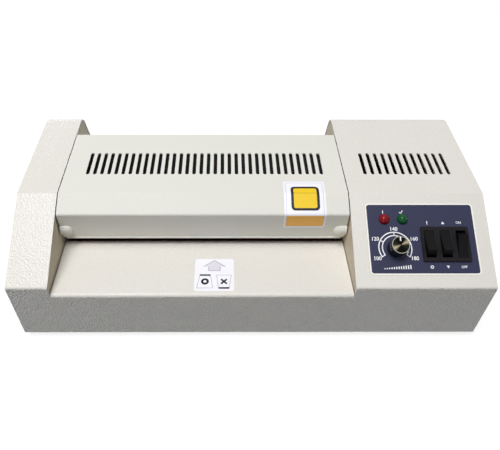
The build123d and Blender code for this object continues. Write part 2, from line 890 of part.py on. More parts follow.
heater("upper_heater", upper_heat, 1)
heater("lower_heater", lower_heat, -1)
with BuildPart() as thermal_cutout:
    cutout_base = upper_z + roller_radius + heater_gap + heater_thickness
    with BuildSketch(Plane.XY.offset(cutout_base)):
        with Locations((opening_x, front_nip_y)):
            Circle(cutout_radius)
    extrude(amount=cutout_height / 2)
    with BuildSketch(Plane.XY.offset(cutout_base + cutout_height / 2)):
        with Locations((opening_x, front_nip_y)):
            Circle(cutout_cap_radius)
    extrude(amount=cutout_height / 2)
write(thermal_cutout, "thermal_cutout")

# Lower guide plates that carry the pouch between table, rollers and exit
guide_z = nip_z - guide_drop
guide_clear = sqrt(roller_radius**2 - (guide_z - sheet - lower_z) ** 2) + guide_gap
guides = [
    (table_rear_y + sheet + guide_gap, front_nip_y - guide_clear),
    (front_nip_y + guide_clear, rear_nip_y - guide_clear),
    (rear_nip_y + guide_clear, exit_front_y - sheet - guide_gap),
]
with BuildPart() as pouch_guides:
    for guide_start, guide_end in guides:
        with BuildSketch(Plane.YZ.offset(cheek_left)):
            with Locations(((guide_start + guide_end) / 2, guide_z - sheet / 2)):
                Rectangle(guide_end - guide_start, sheet)
        extrude(amount=cheek_right - cheek_left)
write(pouch_guides, "pouch_guides")


# Centre cover: vented top, folded front flange with two pressed-out bosses
def bullet(side, radius):
    """Round bar with a ball end, from the cover's edge inwards along the boss; side is -1 left, 1 right."""
    edge = cover_left if side < 0 else cover_right
    foot = Vector(edge, boss_centre.Y, boss_centre.Z)
    with BuildPart() as piece:
        with BuildSketch(Plane(origin=foot, x_dir=across * -side, z_dir=(0, 1, 0))):
            with BuildLine():
                Polyline((boss_straight + radius, 0), (0, 0), (0, radius), (boss_straight, radius))
                CenterArc((boss_straight, 0), radius, 0, 90)
            make_face()
        revolve(axis=Axis(foot, across))
    return piece.part


def boss(side):
    """Shallow half-bullet pressed out of the flange over a cover pin."""
    with BuildPart() as shroud:
        add(bullet(side, boss_radius))
        add(bullet(side, boss_radius - sheet), mode=Mode.SUBTRACT)
        split(bisect_by=flange_plane, keep=Keep.TOP)
    return shroud.part


cover_points = [
    (flange_foot.Y, flange_foot.Z),
    (flange_top.Y, flange_top.Z),
    (bend_y, bend_z),
    (cover_rear_y, cover_rear_z),
    (cover_rear_y, nip_z + cover_rear_gap),
]
with BuildPart() as top_cover:
    cover_section = folded_strip(cover_left, cover_points, [fold_radius, fold_radius, fold_radius])
    extrude(cover_section, amount=cover_width)
    corner_edges = top_cover.edges().filter_by(
        lambda edge: edge.center().Z < flange_foot.Z + sheet and edge.length < 2 * sheet
    )
    fillet(corner_edges, radius=flange_corner)
    # rolled lower edge of the flange
    roll_centre = (flange_foot.Y + sheet / 2, flange_foot.Z)
    add(bar(cover_left + flange_corner, cover_right - flange_corner, roll_centre, rolled_edge_radius))
    # vents
    vent_span = cover_width - 2 * vent_margin
    vent_count = round(vent_span / vent_pitch) + 1
    with BuildSketch(top_at(opening_x + vent_shift, vent_start + vent_length / 2)):
        with GridLocations(vent_span / (vent_count - 1), 1, vent_count, 1):
            SlotOverall(vent_length, vent_width, rotation=90)
    extrude(amount=-2 * sheet, mode=Mode.SUBTRACT)
    # side returns, folded down inside the cheeks
    return_start = bend_y + return_from_bend
    return_end = cover_rear_y - sheet
    for start in (cover_left, cover_right - sheet):
        with BuildSketch(Plane.YZ.offset(start)):
            with BuildLine():
                Polyline(
                    (return_start, under_top(return_start, sheet / 2)),
                    (return_end, under_top(return_end, sheet / 2)),
                    (return_end, under_top(return_end, side_return)),
                    (return_start, under_top(return_start, side_return)),
                    close=True,
                )
            make_face()
            with Locations(cover_pins[1]):
                Circle(cover_pin_radius + screw_gap, mode=Mode.SUBTRACT)
        extrude(amount=sheet)
    for side in (-1, 1):
        add(bullet(side, boss_radius - sheet), mode=Mode.SUBTRACT)
        add(boss(side))
write(top_cover, "top_cover")

# Shouldered pins through the cheeks that carry the cover
with BuildPart() as pins:
    for centre, reach in ((cover_pins[0], boss_straight), (cover_pins[1], rear_pin_reach)):
        for outer, edge, direction in (
            (cheek_left_outer, cover_left, 1),
            (cheek_right_outer, cover_right, -1),
        ):
            ends = sorted((outer, edge + direction * reach))
            add(bar(ends[0], ends[1], centre, cover_pin_radius))
            heads = sorted((outer, outer - direction * cover_pin_head_length))
            add(bar(heads[0], heads[1], centre, cover_pin_head))
write(pins, "cover_pins")

# Control panel label
with BuildPart() as panel_label:
    with BuildSketch(panel_at(0, 0)):
        RectangleRounded(label_width, label_height, label_corner)
        with Locations((lamp_across[0], lamp_up), (lamp_across[1], lamp_up)):
            Circle(lamp_neck_radius + seat_gap, mode=Mode.SUBTRACT)
        with Locations((knob_across, knob_up)):
            Circle(bushing_radius + seat_gap, mode=Mode.SUBTRACT)
        with Locations((switch_across, switch_up)):
            with GridLocations(switch_pitch, 1, 3, 1):
                body_width = switch_body_width + 2 * seat_gap
                Rectangle(body_width, switch_body_length + 2 * seat_gap, mode=Mode.SUBTRACT)
    extrude(amount=label_thickness)
write(panel_label, "panel_label")


# Indicator lamps: domed lens on a neck through the panel
def lamp(name, u):
    """Lamp on the panel at u, its dome above the label."""
    section = panel_section(u, lamp_up)
    with BuildPart() as piece:
        with BuildSketch(section):
            with BuildLine():
                rim = label_thickness + lamp_rim_height
                top = label_thickness + lamp_height
                Line((0, -lamp_neck_length), (lamp_neck_radius, -lamp_neck_length))
                Line((lamp_neck_radius, -lamp_neck_length), (lamp_neck_radius, label_thickness))
                Line((lamp_neck_radius, label_thickness), (lamp_radius, label_thickness))
                Line((lamp_radius, label_thickness), (lamp_radius, rim))
                RadiusArc((lamp_radius, rim), (0, top), -dome_radius)
                Line((0, top), (0, -lamp_neck_length))
            make_face()
        revolve(axis=Axis(section.origin, panel_normal))
    write(piece, name)


dome_rise = lamp_height - lamp_rim_height
dome_radius = (lamp_radius**2 + dome_rise**2) / (2 * dome_rise)
lamp("power_lamp", lamp_across[0])
lamp("ready_lamp", lamp_across[1])

# Temperature control behind the panel, with its nut
with BuildPart() as temperature_control:
    with BuildSketch(panel_at(knob_across, knob_up, -sheet)):
        Circle(control_radius)
    extrude(amount=-control_depth)
    with BuildSketch(panel_at(knob_across, knob_up, -sheet - control_depth / 2)):
        with Locations((0, -control_radius)):
            Rectangle(lug_width, lug_depth)
    extrude(amount=lug_thickness)
    with BuildSketch(panel_at(knob_across, knob_up, -sheet)):
        Circle(bushing_radius)
    extrude(amount=sheet + bushing_height)
    with BuildSketch(panel_at(knob_across, knob_up, bushing_height)):
        Circle(shaft_radius + running_gap)
    extrude(amount=-(bushing_height + sheet + control_depth - control_floor), mode=Mode.SUBTRACT)
write(temperature_control, "temperature_control")

with BuildPart() as control_nut:
    with BuildSketch(panel_at(knob_across, knob_up, label_thickness)):
        RegularPolygon(nut_across, 6)
        Circle(bushing_radius + seat_gap / 2, mode=Mode.SUBTRACT)
    extrude(amount=nut_height)
write(control_nut, "control_nut")

# Knob, its metal cap and the shaft that they turn
knob_top = knob_lift + knob_height
with BuildPart() as control_shaft:
    shaft_foot = moving_gap - sheet - control_depth + control_floor
    shaft_top = knob_top - knob_skin
    with BuildSketch(panel_at(knob_across, knob_up, shaft_foot)):
        Circle(shaft_radius)
    extrude(amount=shaft_top - shaft_foot)
    # flat that keys the knob
    with BuildSketch(panel_at(knob_across, knob_up, shaft_top)):
        with Locations((0, shaft_radius)):
            Rectangle(3 * shaft_radius, shaft_flat)
    extrude(amount=-(shaft_top - bushing_height), mode=Mode.SUBTRACT)
write(control_shaft, "control_shaft")

with BuildPart() as temperature_knob:
    knob_section = panel_section(knob_across, knob_up)
    with BuildSketch(knob_section):
        with BuildLine():
            Polyline(
                (0, knob_lift),
                (knob_radius, knob_lift),
                (knob_radius - knob_draft, knob_top - knob_rim),
                (knob_radius - knob_draft - knob_rim, knob_top),
                (0, knob_top),
                close=True,
            )
        make_face()
    revolve(axis=Axis(knob_section.origin, panel_normal))
    with BuildSketch(panel_at(knob_across, knob_up, knob_lift)):
        with PolarLocations(knob_radius, knob_flutes):
            Circle(flute_radius)
    extrude(amount=knob_height, mode=Mode.SUBTRACT)
    with BuildSketch(panel_at(knob_across, knob_up, knob_top)):
        Circle(knob_cap_radius + seat_gap / 2)
    extrude(amount=-knob_cap_thickness, mode=Mode.SUBTRACT)
    with BuildSketch(panel_at(knob_across, knob_up, knob_lift)):
        Circle(nut_across + moving_gap)
    extrude(amount=bushing_height + moving_gap - knob_lift, mode=Mode.SUBTRACT)
    with BuildSketch(panel_at(knob_across, knob_up, knob_lift)):
        Circle(shaft_radius + seat_gap / 2)
    extrude(amount=shaft_top + seat_gap - knob_lift, mode=Mode.SUBTRACT)
write(temperature_knob, "temperature_knob")

with BuildPart() as knob_cap:
    with BuildSketch(panel_at(knob_across, knob_up, knob_top - knob_cap_thickness)):
        Circle(knob_cap_radius)
    extrude(amount=knob_cap_thickness)
write(knob_cap, "knob_cap")


# Reach of the tilted rocker: out to its corner, and down to the lowest point of its round keel
bezel_top = label_thickness + bezel_height
rocker_lean = radians(rocker_tilt)
corner_reach = rocker_corner_out * cos(rocker_lean) + rocker_corner_up * sin(rocker_lean)
rocker_reach = max(corner_reach, hypot(rocker_foot_out, rocker_foot_up))
keel_rise = rocker_foot_up + rocker_keel_depth
keel_radius = (rocker_foot_out**2 + keel_rise**2) / (2 * keel_rise)
keel_reach = keel_radius - (keel_radius - rocker_keel_depth) * cos(rocker_lean)


# Rocker switches: snap-in body with a bezel, and a rocker on two stub pins
def rocker_switch(name, u, tilt):
    """Switch at u on the panel; tilt is the rocker's angle at rest, top end up."""
    face = panel_at(u, switch_up, label_thickness)
    pocket_width = rocker_width + 2 * moving_gap
    pocket_length = 2 * (rocker_reach + moving_gap)
    pocket_depth = rocker_pivot_depth + keel_reach + moving_gap
    pivot = panel_at(u, switch_up, bezel_top - rocker_pivot_depth).origin
    with BuildPart() as body:
        with BuildSketch(face):
            RectangleRounded(bezel_width, bezel_length, bezel_corner)
        extrude(amount=bezel_height)
        with BuildSketch(face):
            Rectangle(switch_body_width, switch_body_length)
        extrude(amount=-switch_body_depth)
        with BuildSketch(panel_at(u, switch_up, bezel_top)):
            Rectangle(pocket_width, pocket_length)
        extrude(amount=-pocket_depth, mode=Mode.SUBTRACT)
        with BuildSketch(panel_at(u, switch_up, label_thickness - switch_body_depth)):
            with GridLocations(1, switch_body_length / 3, 1, 3):
                Rectangle(terminal_width, terminal_thickness)
        extrude(amount=-terminal_length)
        stub_reach = rocker_width / 2 + rocker_stub_length
        pivot_place = (pivot.Y, pivot.Z)
        hole_radius = rocker_stub_radius + running_gap
        add(bar(pivot.X - stub_reach, pivot.X + stub_reach, pivot_place, hole_radius), mode=Mode.SUBTRACT)
    write(body, f"{name}_switch_body")
    lean = radians(tilt)
    along = up_slope * cos(lean) + panel_normal * sin(lean)
    start = Plane(origin=pivot - across * (rocker_width / 2), x_dir=along, z_dir=across)
    with BuildPart() as paddle:
        with BuildSketch(start):
            with BuildLine():
                left_foot = (-rocker_foot_out, rocker_foot_up)
                left_corner = (-rocker_corner_out, rocker_corner_up)
                right_corner = (rocker_corner_out, rocker_corner_up)
                right_foot = (rocker_foot_out, rocker_foot_up)
                Line(left_foot, left_corner)
                ThreePointArc(left_corner, (0, rocker_dip_up), right_corner)
                Line(right_corner, right_foot)
                ThreePointArc(right_foot, (0, -rocker_keel_depth), left_foot)
            make_face()
        extrude(amount=rocker_width)
        stub_end = stub_reach - seat_gap
        add(bar(pivot.X - stub_end, pivot.X + stub_end, pivot_place, rocker_stub_radius))
    write(paddle, f"{name}_rocker")


rocker_switch("heater", switch_across - switch_pitch, -rocker_tilt)
rocker_switch("direction", switch_across, -rocker_tilt)
rocker_switch("power", switch_across + switch_pitch, rocker_tilt)

# Circuit board in the right bay, on its standoffs
board_left = frame_right_outer + frame_foot + board_side_gap
board_right = right_x - bottom_flange - board_end_gap
board_width = board_right - board_left
board_x = (board_left + board_right) / 2
board_y = front_y + board_front_gap + board_depth / 2
board_z = pan_top_z + board_height
with BuildPart() as circuit_board:
    with BuildSketch(Plane.XY.offset(board_z)):
        with Locations((board_x, board_y)):
            Rectangle(board_width, board_depth)
    extrude(amount=board_thickness)
write(circuit_board, "circuit_board")

with BuildPart() as board_standoffs:
    with BuildSketch(Plane.XY.offset(pan_top_z)):
        with Locations((board_x, board_y)):
            with GridLocations(board_width - 2 * standoff_inset, board_depth - 2 * standoff_inset, 2, 2):
                Circle(standoff_radius)
    extrude(amount=board_height)
write(board_standoffs, "board_standoffs")

# Boxed components: (share of the board's width, along, width, depth, height), from the board's centre
boxed_components = [
    (-0.26, 12.0, 28.0, 24.0, 20.0),
    (0.16, 14.0, 19.0, 15.5, 15.0),
    (-0.29, -18.0, 24.0, 8.0, 10.0),
]
# Capacitors: (share of the board's width, along, radius, height)
capacitors = [(0.1, -8.0, 5.0, 14.0), (0.29, -10.0, 4.0, 12.0)]
with BuildPart() as board_components:
    for share, v, width, depth, height in boxed_components:
        with BuildSketch(Plane.XY.offset(board_z + board_thickness)):
            with Locations((board_x + share * board_width, board_y + v)):
                Rectangle(width, depth)
        extrude(amount=height)
    for share, v, radius, height in capacitors:
        with BuildSketch(Plane.XY.offset(board_z + board_thickness)):
            with Locations((board_x + share * board_width, board_y + v)):
                Circle(radius)
        extrude(amount=height)
write(board_components, "board_components")

# Mains inlet
with BuildPart() as mains_inlet:
    with BuildSketch(rear_at(0)):
        RectangleRounded(inlet_flange_width, inlet_flange_height, inlet_corner)
        with GridLocations(inlet_screw_pitch, 1, 2, 1):
            Circle(screw_radius + screw_gap, mode=Mode.SUBTRACT)
    extrude(amount=inlet_flange_thickness)
    with BuildSketch(rear_at(0)):
        Rectangle(inlet_body_width, inlet_body_height)
    extrude(amount=-inlet_body_depth)
    with BuildSketch(rear_at(inlet_flange_thickness)):
        Rectangle(inlet_cavity_width, inlet_cavity_height)
    extrude(amount=-inlet_cavity_depth, mode=Mode.SUBTRACT)
write(mains_inlet, "mains_inlet")

with BuildPart() as inlet_blades:
    with BuildSketch(rear_at(inlet_flange_thickness - inlet_cavity_depth)):
        with Locations((0, earth_blade_up)):
            Rectangle(blade_thickness, blade_width)
        with Locations((-blade_spread, -line_blade_down), (blade_spread, -line_blade_down)):
            Rectangle(blade_thickness, blade_width)
    extrude(amount=blade_length)
write(inlet_blades, "inlet_blades")

# Rubber feet under the pan
with BuildPart() as rubber_feet:
    with BuildSketch(Plane.XY.offset(pan_bottom_z)):
        with Locations(*feet):
            Circle(foot_radius)
    extrude(amount=-pan_bottom_z, taper=6)
    with BuildSketch(Plane.XY):
        with Locations(*feet):
            Circle(screw_head_radius + moving_gap)
    extrude(amount=pan_bottom_z / 2, mode=Mode.SUBTRACT)
    with BuildSketch(Plane.XY):
        with Locations(*feet):
            Circle(screw_radius + screw_gap)
    extrude(amount=pan_bottom_z, mode=Mode.SUBTRACT)
write(rubber_feet, "rubber_feet")

# Pan-head screws: under the feet, under the bottom flanges and in the inlet's flange
base_screws = [(x, y, pan_bottom_z / 2) for x, y in feet] + [(x, y, floor_z) for x, y in flange_screws]
with BuildPart() as case_screws:
    for radius, start, amount in (
        (screw_head_radius, inlet_flange_thickness, screw_head_height),
        (screw_radius, inlet_flange_thickness, -screw_length),
    ):
        with BuildSketch(rear_at(start)):
            with GridLocations(inlet_screw_pitch, 1, 2, 1):
                Circle(radius)
        extrude(amount=amount)
    for screw_x, screw_y, seat in base_screws:
        for radius, start, amount in (
            (screw_head_radius, seat, -screw_head_height),
            (screw_radius, seat, screw_length),
        ):
            with BuildSketch(Plane.XY.offset(start)):
                with Locations((screw_x, screw_y)):
                    Circle(radius)
            extrude(amount=amount)
write(case_screws, "case_screws")
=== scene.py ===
import json
import math

import bmesh
import bpy
from bpy.props import FloatProperty, FloatVectorProperty, IntProperty, PointerProperty
from mathutils import Matrix, Vector
from mathutils.bvhtree import BVHTree


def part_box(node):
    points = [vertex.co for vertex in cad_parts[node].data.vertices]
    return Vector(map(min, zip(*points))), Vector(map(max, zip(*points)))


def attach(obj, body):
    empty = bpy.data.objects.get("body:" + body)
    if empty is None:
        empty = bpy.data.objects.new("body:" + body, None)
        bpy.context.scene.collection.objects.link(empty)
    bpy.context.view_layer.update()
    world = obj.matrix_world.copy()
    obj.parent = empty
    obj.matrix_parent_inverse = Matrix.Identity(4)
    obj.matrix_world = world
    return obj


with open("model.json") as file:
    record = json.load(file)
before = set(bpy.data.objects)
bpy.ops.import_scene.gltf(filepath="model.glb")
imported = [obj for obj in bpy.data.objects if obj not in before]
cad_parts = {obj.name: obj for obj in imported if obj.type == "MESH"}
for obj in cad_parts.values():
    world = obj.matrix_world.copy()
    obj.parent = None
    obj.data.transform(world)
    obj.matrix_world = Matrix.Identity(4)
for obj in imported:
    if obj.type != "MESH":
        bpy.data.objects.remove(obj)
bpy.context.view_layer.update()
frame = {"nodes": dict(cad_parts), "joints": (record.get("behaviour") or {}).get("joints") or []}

bl_info = {
    "name": "Pouch laminator",
    "version": (1, 0, 0),
    "blender": (4, 5, 0),
    "location": "3D View > Sidebar > Laminator",
    "description": "Finishes, prints and labels of a sheet-metal pouch laminator",
    "category": "Object",
}

MM = 0.001

# Slopes, each a rise over a run, and folds of the CAD model that the labels and prints follow
PANEL_SLOPE = math.atan2(41.5, 74.0)
TOP_SLOPE = math.atan2(7.0, 116.2)
TABLE_SLOPE = math.atan2(2.4, 63.8)
FLANGE_LEAN = math.radians(4.0)
# the flange starts this far down the cover's front slope, measured from the bend at its top
FLANGE_SET = 20.4 * MM
BEND = Vector((0, -32.0 * MM, 110.5 * MM))
TABLE_EDGE = Vector((0, -106.0 * MM, 59.9 * MM))
LABEL_THICKNESS = 0.3 * MM

ACROSS = Vector((1, 0, 0))
UP_SLOPE = Vector((0, math.cos(PANEL_SLOPE), math.sin(PANEL_SLOPE)))
PANEL_NORMAL = Vector((0, -math.sin(PANEL_SLOPE), math.cos(PANEL_SLOPE)))
TOP_NORMAL = Vector((0, -math.sin(TOP_SLOPE), math.cos(TOP_SLOPE)))
FLANGE_NORMAL = Vector((0, -math.cos(FLANGE_LEAN), -math.sin(FLANGE_LEAN)))
TABLE_NORMAL = Vector((0, -math.sin(TABLE_SLOPE), math.cos(TABLE_SLOPE)))

# Place of a print that is drawn flat first and wrapped round its surface later
FLAT = Matrix.Identity(4)
JOINTS = {joint["name"]: joint for joint in frame["joints"]}

# Glue under a sticker, a layer of ink on it, and the step that keeps two inks apart
GLUE = 0.02 * MM
INK = 0.03 * MM
INK_STEP = 0.01 * MM

# Sockets of a Mix node that mixes colours
SHARE = 0
FIRST = 6
SECOND = 7
MIXED = 2

# How far a surface's roughness swings with its grain, and how strongly a mould's texture shows
SMOOTHER = 0.8
ROUGHER = 1.2
MOULD_BUMP = 0.4


def linear(hex_code):
    """Linear colour with alpha from an sRGB hex code."""
    channels = [int(hex_code[start : start + 2], 16) / 255 for start in (1, 3, 5)]
    return tuple(c / 12.92 if c <= 0.04045 else ((c + 0.055) / 1.055) ** 2.4 for c in channels) + (1.0,)


def shaded(colour, factor):
    """Colour made darker or lighter."""
    return tuple(min(channel * factor, 1.0) for channel in colour[:3]) + (1.0,)


def wire(tree, node, inputs):
    """Give sockets their values, or link them to the outputs of other nodes."""
    for socket, value in inputs.items():
        if isinstance(value, bpy.types.NodeSocket):
            tree.links.new(value, node.inputs[socket])
        else:
            node.inputs[socket].default_value = value


def add_node(tree, kind, inputs=None, **settings):
    """Add a shader node with its settings, values and links."""
    node = tree.nodes.new("ShaderNode" + kind)
    for name, value in settings.items():
        setattr(node, name, value)
    wire(tree, node, inputs or {})
    return node


def link_new(name, data):
    """Object with this data, in the scene."""
    holder = bpy.data.objects.new(name, data)
    bpy.context.scene.collection.objects.link(holder)
    return holder


def new_material(name):
    """Material with its node tree and its surface shader."""
    material = bpy.data.materials.new(name)
    material.use_nodes = True
    tree = material.node_tree
    return material, tree, tree.nodes["Principled BSDF"]


def colour_setting(name, hex_code, description):
    """Colour that a user may change."""
    start = linear(hex_code)
    return FloatVectorProperty(
        name=name, description=description, subtype="COLOR", size=4, min=0, max=1, default=start
    )


def length_setting(name, millimetres, description):
    """Length that a user may change."""
    start = millimetres * MM
    return FloatProperty(name=name, description=description, unit="LENGTH", default=start, min=0)


def spot_setting(name, millimetres, description):
    """Place along an axis, which may be negative."""
    start = millimetres * MM
    return FloatProperty(name=name, description=description, unit="LENGTH", default=start)


def power_setting(name, watts, description):
    """Power of a lamp."""
    return FloatProperty(name=name, description=description, unit="POWER", default=watts)


class PaintSettings(bpy.types.PropertyGroup):
    case: colour_setting("Case", "#e6e2da", "Cream of the case")
    cover: colour_setting("Cover", "#e6e4db", "Cream of the cover")
    # the recess cream is darker and warmer as painted shade and warm bounce light inside the recesses
    recess: colour_setting("Recess", "#cfc3ab", "Warmer, thinner cream inside the recesses")
    grain: length_setting("Grain", 1.25, "Spacing of the coat's raised texture")
    relief: length_setting("Relief", 1.1, "Height of the raised texture on the case's front wall")
    level_share: FloatProperty(
        name="Level share", description="Share of that height on the other faces", default=0.28
    )
    cover_relief: length_setting("Cover relief", 0.18, "Height of the cover's raised texture")


class PanelSettings(bpy.types.PropertyGroup):
    film: colour_setting("Film", "#32344e", "Navy ground of the control panel")
    border: colour_setting("Border", "#fbf8ee", "Pale border of the control panel")
    print_colour: colour_setting("Print", "#f6f6f8", "White print")
    print_height: length_setting("Print height", 0.05, "Thickness of the printed ink")
    border_width: length_setting("Border width", 1.25, "Width of the pale border")
    corner: length_setting("Corner", 3.4, "Corner radius of the film")
    dial_radius: length_setting("Dial radius", 14.0, "Radius of the dial's outer arc")
    dial_gap: length_setting("Dial gap", 3.0, "Distance between the two arcs")
    dial_left: length_setting("Dial left", 0.47, "How far the dial's centre lies left of the knob's")
    dial_up: length_setting("Dial up", 0.7, "How far the dial's centre lies above the knob's")
    line: length_setting("Line", 0.95, "Width of the dial's lines")
    figures: length_setting("Figures", 4.6, "Height of the dial's numbers")
    low: IntProperty(name="Lowest", description="Lowest number on the dial", default=100)
    step: IntProperty(name="Step", description="Step between the dial's numbers", default=20)
    mark: length_setting("Mark", 2.9, "Height of the marks at the switches and lamps")
    wedge: length_setting("Wedge", 22.0, "Width of the wedge of bars under the dial")


class KnobSettings(bpy.types.PropertyGroup):
    rim_radius: length_setting("Rim radius", 7.1, "Radius of the bright turned rim")
    rim_width: length_setting("Rim width", 0.35, "Width of the bright turned rim")
    pointer_length: length_setting("Pointer length", 4.0, "Length of the white pointer")
    pointer_width: length_setting("Pointer width", 1.0, "Width of the white pointer")


# a black sheet under the vents, put there as painted shade of the dark inside
class ShadeSheetSettings(bpy.types.PropertyGroup):
    side_margin: length_setting("Side margin", 8.0, "Distance from the cover's ends")
    front: spot_setting("Front", -10.0, "Front edge of the cloth")
    rear: spot_setting("Rear", 29.0, "Rear edge of the cloth")
    thickness: length_setting("Thickness", 0.5, "Thickness of the cloth")
    sag: length_setting("Sag", 4.5, "How far the cloth hangs down between its edges")


class StickerSettings(bpy.types.PropertyGroup):
    paper: colour_setting("Paper", "#f7f6fb", "White of the coated paper")
    outline: colour_setting("Outline", "#cfcbe6", "Thin outline near the edge")
    amber: colour_setting("Amber", "#ffbe52", "Plain band on the flange")
    yellow: colour_setting("Yellow", "#f6cf2a", "Plain field above the band")
    ink: colour_setting("Ink", "#1d1a22", "Dark ink of the marks")
    lilac: colour_setting("Lilac", "#e2dde7", "Pale ink of the arrow")
    mauve: colour_setting("Mauve", "#b3abba", "Thin lines of the feed label")
    left: spot_setting("Left", 29.5, "Left edge of the cover's sticker")
    width: length_setting("Width", 36.7, "Width of the cover's sticker")
    above: length_setting("Above the bend", 15.0, "How far the sticker reaches above the bend")
    below: length_setting("Down the flange", 16.0, "How far the sticker reaches down the flange")
    thickness: length_setting("Thickness", 0.1, "Thickness of the paper")
    feed_left: spot_setting("Feed left", -48.9, "Left edge of the feed label")
    feed_width: length_setting("Feed width", 34.5, "Width of the feed label")
    feed_front: length_setting("Feed front", 4.6, "How far the feed label lies behind the table's edge")
    feed_depth: length_setting("Feed depth", 35.8, "Depth of the feed label")


class StageSettings(bpy.types.PropertyGroup):
    floor: colour_setting("Floor", "#8c8c8c", "Pale floor, as the camera sees it lit")
    bounce: colour_setting("Bounce", "#41464e", "What the floor gives back to the object")
    sky: colour_setting("Sky", "#e4ecf8", "Cool daylight of the sky")
    glow: FloatProperty(
        name="Glow", description="Light added to the floor for the camera", default=0.84, min=0
    )
    key_power: power_setting("Key", 52.5, "Power of the large lamp")
    spark_power: power_setting("Spark", 4.0, "Power of the small lamp")
    fill_power: power_setting("Fill", 5.5, "Power of the low lamp in front")
    side_power: power_setting("Side", 6.0, "Power of each low lamp, behind and at the right")
    ambient: FloatProperty(name="Ambient", description="Strength of the sky", default=0.15, min=0)


def powder_coat(name, colour, grain, relief, roughness, mirror, share=0.8):
    """Textured polyester powder coat, sprayed and baked: a leathery grain with a low gloss."""
    ripple_size = grain * 1.3
    deepest_cell = 0.7
    cloud_size = 90 * MM
    cloud_shade = 0.965
    material, tree, shader = new_material(name)
    coordinates = add_node(tree, "TexCoord")
    place = coordinates.outputs["Object"]
    # the leathery skin breaks the light into specks; its cells are drawn wide enough to show
    cells = add_node(tree, "TexVoronoi", {"Vector": place, "Scale": 1 / grain}, feature="SMOOTH_F1")
    ripple = add_node(tree, "TexNoise", {"Vector": place, "Scale": 1 / ripple_size})
    heights = {0: cells.outputs["Distance"], 1: ripple.outputs["Fac"]}
    skin = add_node(tree, "Math", heights, operation="ADD")
    # the grain stands highest on the upright front wall, whose outward side is -Y
    facing = add_node(tree, "SeparateXYZ", {0: coordinates.outputs["Normal"]})
    wall = {"From Min": -1.0, "From Max": -0.9, "To Min": 1.0, "To Max": share}
    thick = add_node(tree, "MapRange", {"Value": facing.outputs["Y"], **wall})
    height = {"Height": skin.outputs[0], "Strength": thick.outputs["Result"], "Distance": relief}
    bump = add_node(tree, "Bump", height)
    # the film is a little thinner and darker in soft clouds the size of a hand
    cloud = add_node(tree, "TexNoise", {"Vector": place, "Scale": 1 / cloud_size})
    darker = shaded(colour, cloud_shade)
    shades = {SHARE: cloud.outputs["Fac"], FIRST: darker, SECOND: tuple(colour)}
    tint = add_node(tree, "Mix", shades, data_type="RGBA")
    # it flows out smoother in the hollows of the grain than on its ridges
    swing = {"To Min": roughness * SMOOTHER, "To Max": roughness * ROUGHER}
    depth = {"Value": cells.outputs["Distance"], "From Max": deepest_cell}
    gloss = add_node(tree, "MapRange", {**depth, **swing})
    wire(
        tree,
        shader,
        {
            "Base Color": tint.outputs[MIXED],
            "Roughness": gloss.outputs["Result"],
            "Specular IOR Level": mirror,
            "Normal": bump.outputs["Normal"],
        },
    )
    return material


def grained_material(name, grain_mm, strength, relief_mm):
    """Material that a noise raises, drawn coarse enough to show; gives that noise back too."""
    material, tree, shader = new_material(name)
    place = add_node(tree, "TexCoord").outputs["Object"]
    spacing = {"Vector": place, "Scale": 1 / (grain_mm * MM)}
    grain = add_node(tree, "TexNoise", spacing).outputs["Fac"]
    relief = {"Height": grain, "Strength": strength, "Distance": relief_mm * MM}
    bump = add_node(tree, "Bump", relief)
    wire(tree, shader, {"Normal": bump.outputs["Normal"]})
    return material, tree, shader, grain


def metal(name, hex_code, roughness, grain_mm, variation=0.06):
    """Bare or plated metal whose polish changes in fine streaks or spangle."""
    material, tree, shader, grain = grained_material(name, grain_mm, strength=0.25, relief_mm=0.02)
    swing = {"To Min": roughness - variation, "To Max": roughness + variation}
    polish = add_node(tree, "MapRange", {"Value": grain, **swing})
    wire(tree, shader, {"Base Color": linear(hex_code), "Metallic": 1.0})
    wire(tree, shader, {"Roughness": polish.outputs["Result"]})
    return material


def plastic(name, hex_code, roughness, grain_mm=1.0, relief_mm=0.02, mirror=0.5):
    """Moulded plastic or rubber: the fine texture of its mould, and a shine that varies with it."""
    material, tree, shader, grain = grained_material(name, grain_mm, MOULD_BUMP, relief_mm)
    swing = {"To Min": roughness * SMOOTHER, "To Max": roughness * ROUGHER}
    shine = add_node(tree, "MapRange", {"Value": grain, **swing})
    wire(tree, shader, {"Base Color": linear(hex_code), "Specular IOR Level": mirror})
    wire(tree, shader, {"Roughness": shine.outputs["Result"]})
    return material


def coloured(name, colour, roughness, grain_mm=1.0, relief_mm=0.02, variation=0.04, mirror=0.5):
    """Ink, film, paper or the dark sheet under the vents: a setting's colour, uneven by a few
    hundredths.
    """
    material, tree, shader, grain = grained_material(name, grain_mm, MOULD_BUMP, relief_mm)
    shades = {SHARE: grain, FIRST: shaded(colour, 1 - variation), SECOND: shaded(colour, 1 + variation)}
    tint = add_node(tree, "Mix", shades, data_type="RGBA")
    wire(tree, shader, {"Base Color": tint.outputs[MIXED]})
    wire(tree, shader, {"Roughness": roughness, "Specular IOR Level": mirror})
    return material


